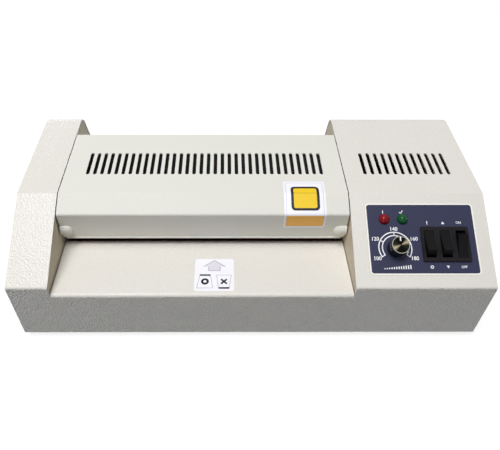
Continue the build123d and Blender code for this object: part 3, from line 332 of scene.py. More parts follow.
def spun_metal(name, dark, bright, roughness, hub, groove_mm, fan_degrees):
    """Metal turned on a lathe: its rings draw the light out along their spokes, and two fans of painted
    highlight lie in its colour.
    """
    fan_sharpness = 30.0
    ring_pull = 0.95
    groove_depth = 0.02 * MM
    groove_strength = 0.3
    material, tree, shader = new_material(name)
    place = add_node(tree, "TexCoord").outputs["Object"]
    from_hub = {0: place, 1: tuple(hub.translation)}
    spoke = add_node(tree, "VectorMath", from_hub, operation="SUBTRACT").outputs[0]
    tangent = add_node(tree, "VectorMath", {0: spoke}, operation="NORMALIZE").outputs[0]
    # painted highlight: two opposite fans of brighter colour, where the lamp's streaks run across the
    # rings
    turned = Matrix.Rotation(math.radians(fan_degrees), 3, "Z") @ Vector((1, 0, 0))
    axis = tuple(hub.to_3x3() @ turned)
    near = add_node(tree, "VectorMath", {0: tangent, 1: axis}, operation="DOT_PRODUCT")
    side = add_node(tree, "Math", {0: near.outputs["Value"]}, operation="ABSOLUTE")
    narrow = {0: side.outputs[0], 1: fan_sharpness}
    fan = add_node(tree, "Math", narrow, operation="POWER")
    shades = {SHARE: fan.outputs[0], FIRST: linear(dark), SECOND: linear(bright)}
    painted_fans = add_node(tree, "Mix", shades, data_type="RGBA")
    reach = add_node(tree, "VectorMath", {0: spoke}, operation="LENGTH")
    rings = {0: reach.outputs["Value"], 1: 2 * math.pi / (groove_mm * MM)}
    turns = add_node(tree, "Math", rings, operation="MULTIPLY")
    grooves = add_node(tree, "Math", {0: turns.outputs[0]}, operation="SINE")
    relief = {"Height": grooves.outputs[0], "Strength": groove_strength, "Distance": groove_depth}
    bump = add_node(tree, "Bump", relief)
    wire(
        tree,
        shader,
        {
            "Base Color": painted_fans.outputs[MIXED],
            "Metallic": 1.0,
            "Roughness": roughness,
            "Anisotropic": ring_pull,
            "Tangent": tangent,
            "Normal": bump.outputs["Normal"],
        },
    )
    return material


def paint_nodes(material, *names):
    """Give CAD nodes a material of their own."""
    for name in names:
        for holder in frame["nodes"][name].material_slots:
            holder.material = material


def keep_piece(bm, name, material, body="chassis"):
    """Write a finished bmesh to an object that rides on a body."""
    bmesh.ops.recalc_face_normals(bm, faces=bm.faces)
    mesh = bpy.data.meshes.new(name)
    bm.to_mesh(mesh)
    bm.free()
    mesh.materials.append(material)
    piece = link_new(name, mesh)
    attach(piece, body)
    return piece


def panel_place():
    """Matrix of the panel film's surface: X across, Y up the slope, Z outwards."""
    low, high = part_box("panel_label")
    centre = (low + high) / 2 + PANEL_NORMAL * LABEL_THICKNESS / 2
    turn = Matrix((ACROSS, UP_SLOPE, PANEL_NORMAL)).transposed().to_4x4()
    return Matrix.Translation(centre) @ turn


def joint_on_panel(name):
    """Where a joint's pivot lies on the panel, across and up."""
    spot = panel_place().inverted() @ Vector(JOINTS[name]["pos_m"])
    return Vector((spot.x, spot.y))


def add_bar(bm, place, start, end, width, height):
    """Flat bar between two points of a plane."""
    run = Vector(end) - Vector(start)
    middle = (Vector(start) + Vector(end)) / 2
    turn = Matrix.Rotation(math.atan2(run.y, run.x), 4, "Z")
    size = Matrix.Diagonal((run.length, width, height, 1))
    spot = Matrix.Translation((middle.x, middle.y, height / 2))
    bmesh.ops.create_cube(bm, size=1.0, matrix=place @ spot @ turn @ size)


def add_arc(bm, place, centre, radius, width, height, start, sweep):
    """Flat arc about a centre; start and sweep are angles in degrees."""
    steps = 48
    hub = place @ Matrix.Translation((centre[0], centre[1], 0))
    turn = Matrix.Rotation(math.radians(start), 4, "Z")
    upright = Matrix.Rotation(math.pi / 2, 4, "X")
    size = Matrix.Diagonal((width, height, 1, 1))
    spot = Matrix.Translation((radius, 0, height / 2))
    made = bmesh.ops.create_grid(
        bm, x_segments=1, y_segments=1, size=0.5, matrix=hub @ turn @ spot @ upright @ size
    )
    whole = abs(sweep) >= 360
    faces = list({face for vert in made["verts"] for face in vert.link_faces})
    edges = list({edge for vert in made["verts"] for edge in vert.link_edges})
    geometry = made["verts"] + edges + ([] if whole else faces)
    if whole:
        bmesh.ops.delete(bm, geom=faces, context="FACES_ONLY")
    bmesh.ops.spin(
        bm,
        geom=geometry,
        cent=hub.translation,
        axis=hub.to_3x3() @ Vector((0, 0, 1)),
        angle=math.radians(sweep),
        steps=steps,
        use_merge=whole,
        use_duplicate=False,
    )


def add_words(bm, place, words, middle, size, height, weight=0.0):
    """Printed figures, centred on a point of a plane."""
    letters = bpy.data.curves.new("figures", "FONT")
    letters.body = words
    letters.size = size
    letters.align_x = "CENTER"
    letters.align_y = "CENTER"
    letters.extrude = height / 2
    letters.offset = weight * size
    letters.resolution_u = 3
    holder = link_new("figures", letters)
    bpy.context.view_layer.update()
    mesh = bpy.data.meshes.new_from_object(holder.evaluated_get(bpy.context.evaluated_depsgraph_get()))
    mesh.transform(place @ Matrix.Translation((middle[0], middle[1], height / 2)))
    bm.from_mesh(mesh)
    bpy.data.objects.remove(holder)
    bpy.data.curves.remove(letters)
    bpy.data.meshes.remove(mesh)


def add_triangle(bm, place, centre, width, rise, height):
    """Flat triangle that points along Y, centred between its foot and its tip."""
    # a three-sided disc of radius 1 is the root of 3 wide and 1.5 high, about its own centre
    size = Matrix.Diagonal((width / math.sqrt(3), rise / 1.5, height, 1))
    spot = Matrix.Translation((centre[0], centre[1] - rise / 6, height / 2))
    bmesh.ops.create_cone(
        bm, cap_ends=True, segments=3, radius1=1.0, radius2=1.0, depth=1.0, matrix=place @ spot @ size
    )


def rounded_sheet(bm, centre, size, corner):
    """Flat face with rounded corners in the XY plane."""
    spot = Matrix.Translation((centre[0], centre[1], 0)) @ Matrix.Diagonal((size[0], size[1], 1, 1))
    made = bmesh.ops.create_grid(bm, x_segments=1, y_segments=1, size=0.5, matrix=spot)
    rounded = bmesh.ops.bevel(
        bm, geom=made["verts"], offset=corner, segments=6, profile=0.5, affect="VERTICES", material=-1
    )
    return max(rounded["verts"][0].link_faces, key=lambda face: len(face.verts))


def ring_from(bm, face, width):
    """Keep only a rim of this width of a flat face."""
    bmesh.ops.inset_region(bm, faces=[face], thickness=width, use_even_offset=True, use_boundary=True)
    bmesh.ops.delete(bm, geom=[face], context="FACES_ONLY")


def thicken(bm, height):
    """Raise all flat faces into plates of this height."""
    made = bmesh.ops.extrude_face_region(bm, geom=bm.faces[:], use_keep_orig=True)
    verts = [item for item in made["geom"] if isinstance(item, bmesh.types.BMVert)]
    bmesh.ops.translate(bm, verts=verts, vec=(0, 0, height))


def slice_across(bm, low, high, step):
    """Cut a flat plate into strips along Y, so that it can bend round a fold."""
    count = int((high - low) / step)
    for index in range(1, count):
        spot = low + (high - low) * index / count
        geometry = bm.verts[:] + bm.edges[:] + bm.faces[:]
        bmesh.ops.bisect_plane(bm, geom=geometry, plane_co=(0, spot, 0), plane_no=(0, 1, 0))


def drape(bm, node, guide, lift):
    """Wrap a flat plate round a CAD node; guide gives the spot and outward side of each (x, y)."""
    surface = BVHTree.FromObject(frame["nodes"][node], bpy.context.evaluated_depsgraph_get())
    start_height = 5 * MM
    for vert in bm.verts:
        spot, outward = guide(vert.co.x, vert.co.y)
        found = surface.ray_cast(spot + outward * start_height, -outward)[0]
        if found is None:
            raise RuntimeError(f"the label has nothing under it on {node}")
        vert.co = found + outward * (lift + vert.co.z)


def over_cover(x, up):
    """Spot and outward side on the cover, up measured along it from the bend at the top."""
    down = -up
    # the outward side turns over this length before and after each bend
    turn = 2.0 * MM
    if down < 0:
        spot = BEND + Vector((0, math.cos(TOP_SLOPE), math.sin(TOP_SLOPE))) * up
    elif down < FLANGE_SET:
        spot = BEND - UP_SLOPE * down
    else:
        spot = BEND - UP_SLOPE * FLANGE_SET
        spot += Vector((0, math.sin(FLANGE_LEAN), -math.cos(FLANGE_LEAN))) * (down - FLANGE_SET)
    first = min(max((down + turn) / (2 * turn), 0.0), 1.0)
    second = min(max((down - FLANGE_SET + turn) / (2 * turn), 0.0), 1.0)
    outward = TOP_NORMAL.lerp(PANEL_NORMAL, first).lerp(FLANGE_NORMAL, second)
    return spot + ACROSS * x, outward.normalized()


def over_table(x, back):
    """Spot and outward side on the feed table, back measured from its front edge."""
    along = Vector((x, back * math.cos(TABLE_SLOPE), back * math.sin(TABLE_SLOPE)))
    return TABLE_EDGE + along, TABLE_NORMAL


# Surfaces that stickers are laid on: the guide, and the CAD node under it
COVER = (over_cover, "top_cover")
TABLE = (over_table, "case_shell")


class LAMINATOR_OT_paint(bpy.types.Operator):
    """Coat the case, the cover, the cheeks and the end plates"""

    bl_idname = "laminator.paint"
    bl_label = "Powder coat"

    def execute(self, context):
        paint = context.scene.laminator_paint
        # the case was sprayed thick: a leathery grain that sparkles where it mirrors the lamp
        case = powder_coat(
            "textured polyester powder coat",
            paint.case,
            paint.grain,
            paint.relief,
            roughness=0.29,
            mirror=0.43,
            share=paint.level_share,
        )
        paint_nodes(case, "case_shell", "left_end_plate", "right_end_plate")
        # the cover was sprayed thinner, so it looks nearly smooth
        texture = (paint.grain, paint.cover_relief)
        gloss = {"roughness": 0.55, "mirror": 0.35}
        cover = powder_coat("thin polyester powder coat", paint.cover, *texture, **gloss)
        paint_nodes(cover, "top_cover")
        # a darker, warmer cream in the recesses: painted shade, and the warm light bounced there
        gloss = {"roughness": 0.5, "mirror": 0.4}
        recess = powder_coat("painted-shade polyester powder coat", paint.recess, *texture, **gloss)
        paint_nodes(recess, "left_cheek", "right_cheek")
        return {"FINISHED"}


class LAMINATOR_OT_chassis(bpy.types.Operator):
    """Finish the pan, frames, rods, guides, pins, screws and feet"""

    bl_idname = "laminator.chassis"
    bl_label = "Chassis"

    def execute(self, context):
        # rolled, folded and plated: a cool grey whose polish changes in soft patches
        zinc = metal("zinc-plated sheet steel", "#b9bcbd", roughness=0.38, grain_mm=6.0)
        paint_nodes(zinc, "base_pan", "left_frame", "right_frame", "motor_plate", "pouch_guides")
        # cut on a lathe and left bare: brighter than the sheet, with a crisp shine
        turned = metal("turned bright steel", "#c4c4c2", roughness=0.25, grain_mm=0.8)
        paint_nodes(turned, "motor_posts", "idler_pin", "control_shaft", "case_screws")
        # steel painted near black as shade, so it shows as almost nothing behind the vents
        painted_shade_black = metal("blackened steel", "#1b1b1c", roughness=0.5, grain_mm=1.2)
        paint_nodes(painted_shade_black, "tie_rods")
        # plated over polished steel: a warm silver, close to a mirror
        nickel = metal("nickel plate", "#d2cdc2", roughness=0.18, grain_mm=1.5)
        paint_nodes(nickel, "cover_pins", "control_nut")
        # moulded soft: a charcoal that hardly shines
        rubber = plastic("moulded neoprene rubber", "#232323", 0.75, grain_mm=1.2, relief_mm=0.03)
        paint_nodes(rubber, "rubber_feet")
        return {"FINISHED"}


class LAMINATOR_OT_vent_shade_sheet(bpy.types.Operator):
    """Glue a black sheet under the cover's vents, as painted shade behind them"""

    bl_idname = "laminator.vent_cloth"
    bl_label = "Vent shade sheet"

    def execute(self, context):
        settings = context.scene.laminator_cloth
        glue = 0.05 * MM
        probe_z = BEND.z - 10 * MM
        low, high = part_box("top_cover")
        surface = BVHTree.FromObject(frame["nodes"]["top_cover"], bpy.context.evaluated_depsgraph_get())
        across = high.x - low.x - 2 * settings.side_margin
        span = settings.rear - settings.front
        middle = Vector(((low.x + high.x) / 2, (settings.front + settings.rear) / 2, 0))
        place = Matrix.Translation(middle) @ Matrix.Diagonal((across, span, 1, 1))
        bm = bmesh.new()
        bmesh.ops.create_grid(bm, x_segments=2, y_segments=24, size=0.5, matrix=place)
        thicken(bm, settings.thickness)
        # glued along its front and rear edges, it sags in between
        ends = [
            surface.ray_cast(Vector((middle.x, spot, probe_z)), Vector((0, 0, 1)))[0].z
            for spot in (settings.front, settings.rear)
        ]
        for vert in bm.verts:
            share = (vert.co.y - settings.front) / span
            under = ends[0] + (ends[1] - ends[0]) * share
            vert.co.z += under - settings.thickness - glue - settings.sag * math.sin(math.pi * share)
        # a black sheet of painted shade: it stands for the dark behind the vents and swallows the light
        # there
        weave = {"grain_mm": 0.8, "relief_mm": 0.08, "variation": 0.3, "mirror": 0.2}
        cloth = coloured("black vent shade sheet", linear("#16161a"), roughness=0.8, **weave)
        piece = keep_piece(bm, "vent_shade_sheet", cloth)
        return {"FINISHED"}


class LAMINATOR_OT_rollers(bpy.types.Operator):
    """Finish the rollers, their bearings, springs and gears"""

    bl_idname = "laminator.rollers"
    bl_label = "Rollers and drive"

    def execute(self, context):
        pairs = ("lower_heat", "upper_heat", "lower_pull", "upper_pull")
        # cast on the cores and ground true: an even red with a dull sheen
        silicone = plastic("brick-red silicone rubber", "#a0402f", 0.55, mirror=0.25)
        paint_nodes(silicone, *(f"{pair}_sleeve" for pair in pairs))
        # drawn through a die: a pale silver with a soft shine
        tube = metal("drawn aluminium tube", "#c9cbcd", roughness=0.3, grain_mm=2.0)
        paint_nodes(tube, *(f"{pair}_core" for pair in pairs))
        # moulded undyed: a milky cream with a waxy shine
        nylon = plastic("natural nylon", "#ded9c6", 0.42)
        paint_nodes(nylon, *(f"{pair}_gear" for pair in pairs), "idler_gear")
        # pressed from powder: a dull gold, broken into fine specks
        bronze = metal("sintered bronze", "#b08a55", roughness=0.45, grain_mm=0.6)
        paint_nodes(bronze, "lower_bushes")
        # moulded: a clean white, a little smoother than the nylon
        acetal = plastic("white acetal", "#eceae4", 0.4)
        paint_nodes(acetal, "heat_blocks", "pull_blocks", "board_standoffs")
        # drawn hard and wound: a darker grey than any other bare steel here
        wire_steel = metal("spring steel wire", "#8b8b8a", roughness=0.35, grain_mm=0.7)
        paint_nodes(wire_steel, "heat_springs", "pull_springs")
        # cut and left bare: a clear yellow with a crisp shine
        brass = metal("cut brass", "#d2b06a", roughness=0.28, grain_mm=0.8)
        paint_nodes(brass, "motor_pinion", "inlet_blades")
        # deep-drawn and plated: a mid grey with a soft gleam
        can = metal("plated motor can", "#a7a9ab", roughness=0.32, grain_mm=3.0)
        paint_nodes(can, "motor")
        # dyed black so that it gives its heat off, and dark as painted shade too: it lies right under
        # the vents
        anodised = metal("shade-black anodised aluminium", "#202021", roughness=0.5, grain_mm=2.5)
        paint_nodes(anodised, "upper_heater", "lower_heater")
        return {"FINISHED"}


class LAMINATOR_OT_electrics(bpy.types.Operator):
    """Finish the circuit board, the control, the cut-out and the mains inlet"""

    bl_idname = "laminator.electrics"
    bl_label = "Electrics"

    def execute(self, context):
        # a thin coat over the copper: a deep green with a clean shine
        mask = plastic("solder mask on glass epoxy", "#1f5a33", 0.35, grain_mm=2.0, relief_mm=0.01)
        paint_nodes(mask, "circuit_board")
        # moulded round the parts: a dull, bluish black
        epoxy = plastic("moulded epoxy cases", "#26262b", 0.5, relief_mm=0.03)
        paint_nodes(epoxy, "board_components")
        # moulded under heat: a dark brown with a low shine
        phenolic = plastic("brown phenolic", "#3f2a20", 0.45, relief_mm=0.03)
        paint_nodes(phenolic, "temperature_control", "thermal_cutout")
        # glass fibres near its skin: a dull black with a fine grain
        filled = plastic("black glass-filled nylon", "#1d1d1e", 0.5, grain_mm=0.9, relief_mm=0.04)
        paint_nodes(filled, "mains_inlet")
        return {"FINISHED"}


class LAMINATOR_OT_panel_film(bpy.types.Operator):
    """Print the control panel: film, border, dial, numbers and marks"""

    bl_idname = "laminator.panel_film"
    bl_label = "Panel film and print"

    def execute(self, context):
        settings = context.scene.laminator_panel
        # polyester film, printed from behind and lightly embossed: an even navy with a satin face
        emboss = {"grain_mm": 0.9, "relief_mm": 0.03, "variation": 0.07, "mirror": 0.2}
        film = coloured("printed polyester film", settings.film, roughness=0.42, **emboss)
        paint_nodes(film, "panel_label")
        self.print_border(settings)
        self.print_dial(settings)
        self.print_marks(settings)
        return {"FINISHED"}

    def print_border(self, settings):
        low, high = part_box("panel_label")
        across = high.x - low.x
        up = ((high.y - low.y) - LABEL_THICKNESS * math.sin(PANEL_SLOPE)) / math.cos(PANEL_SLOPE)
        bm = bmesh.new()
        face = rounded_sheet(bm, (0, 0), (across, up), settings.corner)
        ring_from(bm, face, settings.border_width)
        thicken(bm, settings.print_height)
        bm.transform(panel_place())
        # a thick layer of pale ink, brighter than the case round it
        border = coloured("pale screen-printed border", settings.border, 0.45)
        keep_piece(bm, "panel_border", border)

    def print_dial(self, settings):
        place = panel_place()
        height = settings.print_height
        shift = Vector((-settings.dial_left, settings.dial_up))
        centre = joint_on_panel("temperature_knob_turn") + shift
        outer = settings.dial_radius
        inner = outer - settings.dial_gap
        half_sweep = JOINTS["temperature_knob_turn"]["range_deg"][1]
        stand_off = settings.figures * 0.6
        further_out = settings.figures * 0.4
        bm = bmesh.new()
        for radius in (inner, outer):
            add_arc(bm, place, centre, radius, settings.line, height, 90 - half_sweep, 2 * half_sweep)
        count = 5
        for index in range(count):
            angle = math.radians(90 + half_sweep - index * 2 * half_sweep / (count - 1))
            ray = Vector((math.cos(angle), math.sin(angle)))
            start = centre + ray * (inner - settings.line / 2)
            end = centre + ray * (outer + settings.line / 2)
            add_bar(bm, place, start, end, settings.line, height)
            # the figures beside the dial stand further out, because they are wider than high
            beside = 0.0 if abs(ray.x) < 0.001 else math.copysign(further_out, ray.x)
            spot = centre + ray * (outer + stand_off) + Vector((beside, 0))
            words = str(settings.low + index * settings.step)
            add_words(bm, place, words, spot, settings.figures, height, weight=0.022)
        # opaque white ink, raised a little above the film
        ink = coloured("white screen-printed ink", settings.print_colour, 0.5)
        keep_piece(bm, "panel_dial", ink)

    def print_marks(self, settings):
        place = panel_place()
        height = settings.print_height
        mark = settings.mark
        line = mark * 0.24
        triangle_rise = mark * 0.85
        letter_weight = 0.02
        above = 14.1 * MM
        below = -25.0 * MM
        heater = joint_on_panel("heater_switch_rock").x
        direction = joint_on_panel("direction_switch_rock").x
        power = joint_on_panel("power_switch_rock").x
        bm = bmesh.new()
        add_bar(bm, place, (heater, above - mark / 2), (heater, above + mark / 2), line, height)
        add_arc(bm, place, (heater, below), mark / 2 - line / 2, line, height, 0, 360)
        add_triangle(bm, place, (direction, above), mark, triangle_rise, height)
        turned = place @ Matrix.Translation((direction, below, 0)) @ Matrix.Rotation(math.pi, 4, "Z")
        add_triangle(bm, turned, (0, 0), mark, triangle_rise, height)
        add_words(bm, place, "ON", (power, above), mark, height, letter_weight)
        add_words(bm, place, "OFF", (power, below), mark, height, letter_weight)
        # a wedge of bars under the dial, from cool to hot
        knob = joint_on_panel("temperature_knob_turn").x
        bars = 12
        bar_width = settings.wedge / bars * 0.55
        foot = below - mark * 0.6
        lowest = mark * 0.25
        growth = mark * 0.95
        for index in range(bars):
            share = index / (bars - 1)
            spot = knob + (share - 0.5) * settings.wedge
            rise = lowest + growth * share
            add_bar(bm, place, (spot, foot), (spot, foot + rise), bar_width, height)
        # a stroke above the red lamp, a tick above the green one
        red = -31.7 * MM
        green = -16.0 * MM
        lamps = 23.8 * MM
        add_bar(bm, place, (red, lamps - mark / 2), (red, lamps + mark / 2), line, height)
        corner = (green - mark * 0.1, lamps - mark * 0.4)
        add_bar(bm, place, (green - mark * 0.5, lamps), corner, line, height)
        add_bar(bm, place, corner, (green + mark * 0.6, lamps + mark * 0.5), line, height)
        ink = bpy.data.materials["white screen-printed ink"]
        keep_piece(bm, "panel_marks", ink)


class LAMINATOR_OT_knob(bpy.types.Operator):
    """Finish the knob, its spun cap, its bright rim and its pointer"""

    bl_idname = "laminator.knob"
    bl_label = "Temperature knob"

    def execute(self, context):
        settings = context.scene.laminator_knob
        rim_height = 0.12 * MM
        pointer_height = 0.18 * MM
        # phenolic, polished in its mould: deep black with sharp highlights along the flutes
        polished = plastic(
            "polished black phenolic", "#0b0b0d", 0.2, grain_mm=0.8, relief_mm=0.004, mirror=0.3
        )
        paint_nodes(polished, "temperature_knob")
        hub = self.cap_place()
        # aluminium turned on a lathe and dyed black: streaks of light cross its rings, and two fans of
        # painted highlight in its colour add to them
        cap = spun_metal(
            "black anodised spun aluminium",
            dark="#151513",
            bright="#a89c80",
            roughness=0.36,
            hub=hub,
            groove_mm=0.5,
            fan_degrees=28.0,
        )
        paint_nodes(cap, "knob_cap")
        # the rim is cut bare by a diamond, so it flashes
        rim = metal("diamond-cut bare aluminium", "#d0ccc0", 0.22, grain_mm=0.5, variation=0.03)
        bm = bmesh.new()
        add_arc(bm, hub, (0, 0), settings.rim_radius, settings.rim_width, rim_height, 0, 360)
        keep_piece(bm, "knob_rim", rim, body="knob")
        # white enamel, filled into a milled slot
        enamel = coloured("white enamel fill", linear("#f8f8f8"), 0.35)
        bm = bmesh.new()
        tip = settings.rim_radius + settings.rim_width / 2
        foot = tip - settings.pointer_length
        add_bar(bm, hub, (0, foot), (0, tip), settings.pointer_width, pointer_height)
        keep_piece(bm, "knob_pointer", enamel, body="knob")
        return {"FINISHED"}

    def cap_place(self):
        """Matrix of the cap's top face, its Y towards the pointer."""
        inward = panel_place().inverted()
        mesh = frame["nodes"]["knob_cap"].data
        top = max((inward @ vert.co).z for vert in mesh.vertices)
        spot = joint_on_panel("temperature_knob_turn")
        return panel_place() @ Matrix.Translation((spot.x, spot.y, top))


class LAMINATOR_OT_switches(bpy.types.Operator):
    """Finish the three rocker switches"""

    bl_idname = "laminator.switches"
    bl_label = "Rocker switches"

    def execute(self, context):
        # nylon, moulded in a spark-eroded tool: a dull, slightly warm black
        body = plastic(
            "moulded black nylon", "#131013", 0.45, grain_mm=0.9, relief_mm=0.03, mirror=0.14
        )
        # polycarbonate paddles, a little smoother and deeper in colour than their bezels
        rocker = plastic("moulded black polycarbonate", "#0b0a0c", 0.4, grain_mm=0.9, mirror=0.1)
        for name in ("heater", "direction", "power"):
            paint_nodes(body, f"{name}_switch_body")
            paint_nodes(rocker, f"{name}_rocker")
        return {"FINISHED"}


class LAMINATOR_OT_lamps(bpy.types.Operator):
    """Finish the red and green indicator lamps"""

    bl_idname = "laminator.lamps"
    bl_label = "Indicator lamps"

    def execute(self, context):
        for node, name, hex_code in (
            ("power_lamp", "moulded red acrylic", "#82000d"),
            ("ready_lamp", "moulded green acrylic", "#005024"),
        ):
            # dyed acrylic: a deep colour and a wet shine, with the ripple of the facets inside it
            paint_nodes(plastic(name, hex_code, 0.08, grain_mm=2.4, mirror=0.18), node)
        return {"FINISHED"}


class LAMINATOR_OT_stickers(bpy.types.Operator):
    """Stick the plain label on the cover and the feed label on the table"""

    bl_idname = "laminator.stickers"
    bl_label = "Stickers"

    def execute(self, context):
        settings = context.scene.laminator_sticker
        # coated paper and flexographic inks: even colours, the two densest with less shine
        self.inks = {}
        even = {"roughness": 0.35, "grain_mm": 1.2, "relief_mm": 0.01, "variation": 0.015}
        for name in ("paper", "outline", "amber", "yellow", "ink", "lilac", "mauve"):
            colour = getattr(settings, name)
            mirror = 0.2 if name in ("ink", "yellow") else 0.5
            self.inks[name] = coloured(f"{name} on coated paper", colour, mirror=mirror, **even)
        self.stick_cover(settings)
        self.stick_feed(settings)
        return {"FINISHED"}

    def lay(self, name, ink, bm, surface, lift):
        """Wrap a flat piece round a surface and keep it."""
        guide, node = surface
        drape(bm, node, guide, lift)
        keep_piece(bm, name, self.inks[ink])

    def field(self, name, ink, box, surface, corner, lift, height=INK, rim=None):
        """Rounded field of ink or paper; box is left, right, low and high along the surface."""
        left, right, low, high = box
        middle = ((left + right) / 2, (low + high) / 2)
        strip = 1.0 * MM
        bm = bmesh.new()
        face = rounded_sheet(bm, middle, (right - left, high - low), corner)
        if rim:
            ring_from(bm, face, rim)
        thicken(bm, height)
        slice_across(bm, low, high, strip)
        self.lay(name, ink, bm, surface, lift)

    def stick_cover(self, settings):
        left = settings.left
        right = left + settings.width
        high = settings.above
        low = -(FLANGE_SET + settings.below)
        sheet = (left, right, low, high)
        paper = settings.thickness
        self.field("cover_sticker", "paper", sheet, COVER, corner=2.0 * MM, lift=GLUE, height=paper)
        inset = 1.7 * MM
        rim_box = (left + inset, right - inset, low + inset, high - inset)
        outline = {"corner": 1.5 * MM, "lift": paper, "rim": 0.5 * MM}
        self.field("cover_sticker_outline", "outline", rim_box, COVER, **outline)
        band_left = left + 2.0 * MM
        band_right = right - 1.0 * MM - inset / 2
        band_low = -(FLANGE_SET + 14.0 * MM)
        band_high = -(FLANGE_SET + 1.2 * MM)
        band = (band_left, band_right, band_low, band_high)
        one_ink = paper + INK
        self.field("cover_sticker_band", "amber", band, COVER, corner=0.8 * MM, lift=one_ink)
        # a dark rounded frame, and a yellow field on it that leaves its edge showing
        middle = (left + right) / 2 + 0.4 * MM
        half = 12.5 * MM
        frame_low = -(FLANGE_SET - 4.0 * MM)
        frame_high = high - 7.0 * MM
        frame_box = (middle - half, middle + half, frame_low, frame_high)
        self.field("cover_sticker_frame", "ink", frame_box, COVER, corner=3.5 * MM, lift=one_ink)
        edge = 2.3 * MM
        block = (middle - half + edge, middle + half - edge, frame_low + edge, frame_high - edge)
        two_inks = paper + 2 * INK
        self.field("cover_sticker_field", "yellow", block, COVER, corner=1.8 * MM, lift=two_inks)

    def stick_feed(self, settings):
        left = settings.feed_left
        right = left + settings.feed_width
        low = settings.feed_front
        high = low + settings.feed_depth
        middle = (left + right) / 2
        paper = settings.thickness
        arrow_margin = 1.8 * MM
        hints_middle = 10.4 * MM
        sheet = (left, right, low, high)
        self.field("feed_label", "paper", sheet, TABLE, corner=2.5 * MM, lift=GLUE, height=paper)
        self.print_arrow(middle, high - arrow_margin, paper + INK_STEP)
        self.print_hints(middle, low + hints_middle, paper)

    def strokes(self, name, ink, runs, width, lift):
        """Print straight strokes on the feed table, each from one point to the next."""
        bm = bmesh.new()
        for start, end in runs:
            add_bar(bm, FLAT, start, end, width, INK)
        self.lay(name, ink, bm, TABLE, lift)

    def print_arrow(self, middle, tip, lift):
        """Arrow into the machine: a pale body with a darker outline."""
        half_head = 9.6 * MM
        half_stem = 5.0 * MM
        head = 7.0 * MM
        stem = 4.6 * MM
        line = 0.7 * MM
        neck = tip - head
        foot = neck - stem
        thin_ink = INK - INK_STEP
        bm = bmesh.new()
        add_triangle(bm, FLAT, (middle, tip - head / 2), 2 * half_head, head, thin_ink)
        add_bar(bm, FLAT, (middle, neck), (middle, foot), 2 * half_stem, thin_ink)
        self.lay("feed_arrow", "lilac", bm, TABLE, lift)
        runs = []
        for side in (-1, 1):
            shoulder = middle + side * half_stem
            runs.append(((middle, tip), (middle + side * half_head, neck)))
            runs.append(((shoulder, neck), (shoulder, foot)))
        runs.append(((middle - half_stem, foot), (middle + half_stem, foot)))
        self.strokes("feed_arrow_outline", "mauve", runs, line, lift + INK_STEP)

    def print_hints(self, middle, mid, lift):
        """Ring on a sheet that is wider at its foot, cross on one that is wider at its top."""
        ring = middle - 8.0 * MM
        cross = middle + 8.4 * MM
        half = 4.6 * MM
        rise = 7.0 * MM
        thin = 0.45 * MM
        thick = 1.7 * MM
        sheets = []
        for centre, half_top, half_foot in ((ring, half, half * 1.5), (cross, half * 1.4, half)):
            for side in (1, -1):
                top = (centre + side * half_top, mid + rise)
                foot = (centre + side * half_foot, mid - rise)
                sheets.append((top, foot))
            sheets.append(((centre - half_top, mid + rise), (centre + half_top, mid + rise)))
            sheets.append(((centre - half_foot, mid - rise), (centre + half_foot, mid - rise)))
        self.strokes("feed_sheets", "mauve", sheets, thin, lift)
        top_bar = ((ring - half, mid + rise), (ring + half, mid + rise))
        foot_bar = ((cross - half, mid - rise), (cross + half, mid - rise))
        self.strokes("feed_bars", "ink", [top_bar, foot_bar], thick, lift + INK_STEP)
        arm = 2.5 * MM
        arms = []
        for side in (-1, 1):
            arms.append(((cross - arm, mid - side * arm), (cross + arm, mid + side * arm)))
        self.strokes("feed_cross", "ink", arms, thick, lift)
        ring_radius = 2.4 * MM
        ring_width = 2.0 * MM
        bm = bmesh.new()
        add_arc(bm, FLAT, (ring, mid), ring_radius, ring_width, INK, 0, 360)
        self.lay("feed_ring", "ink", bm, TABLE, lift)


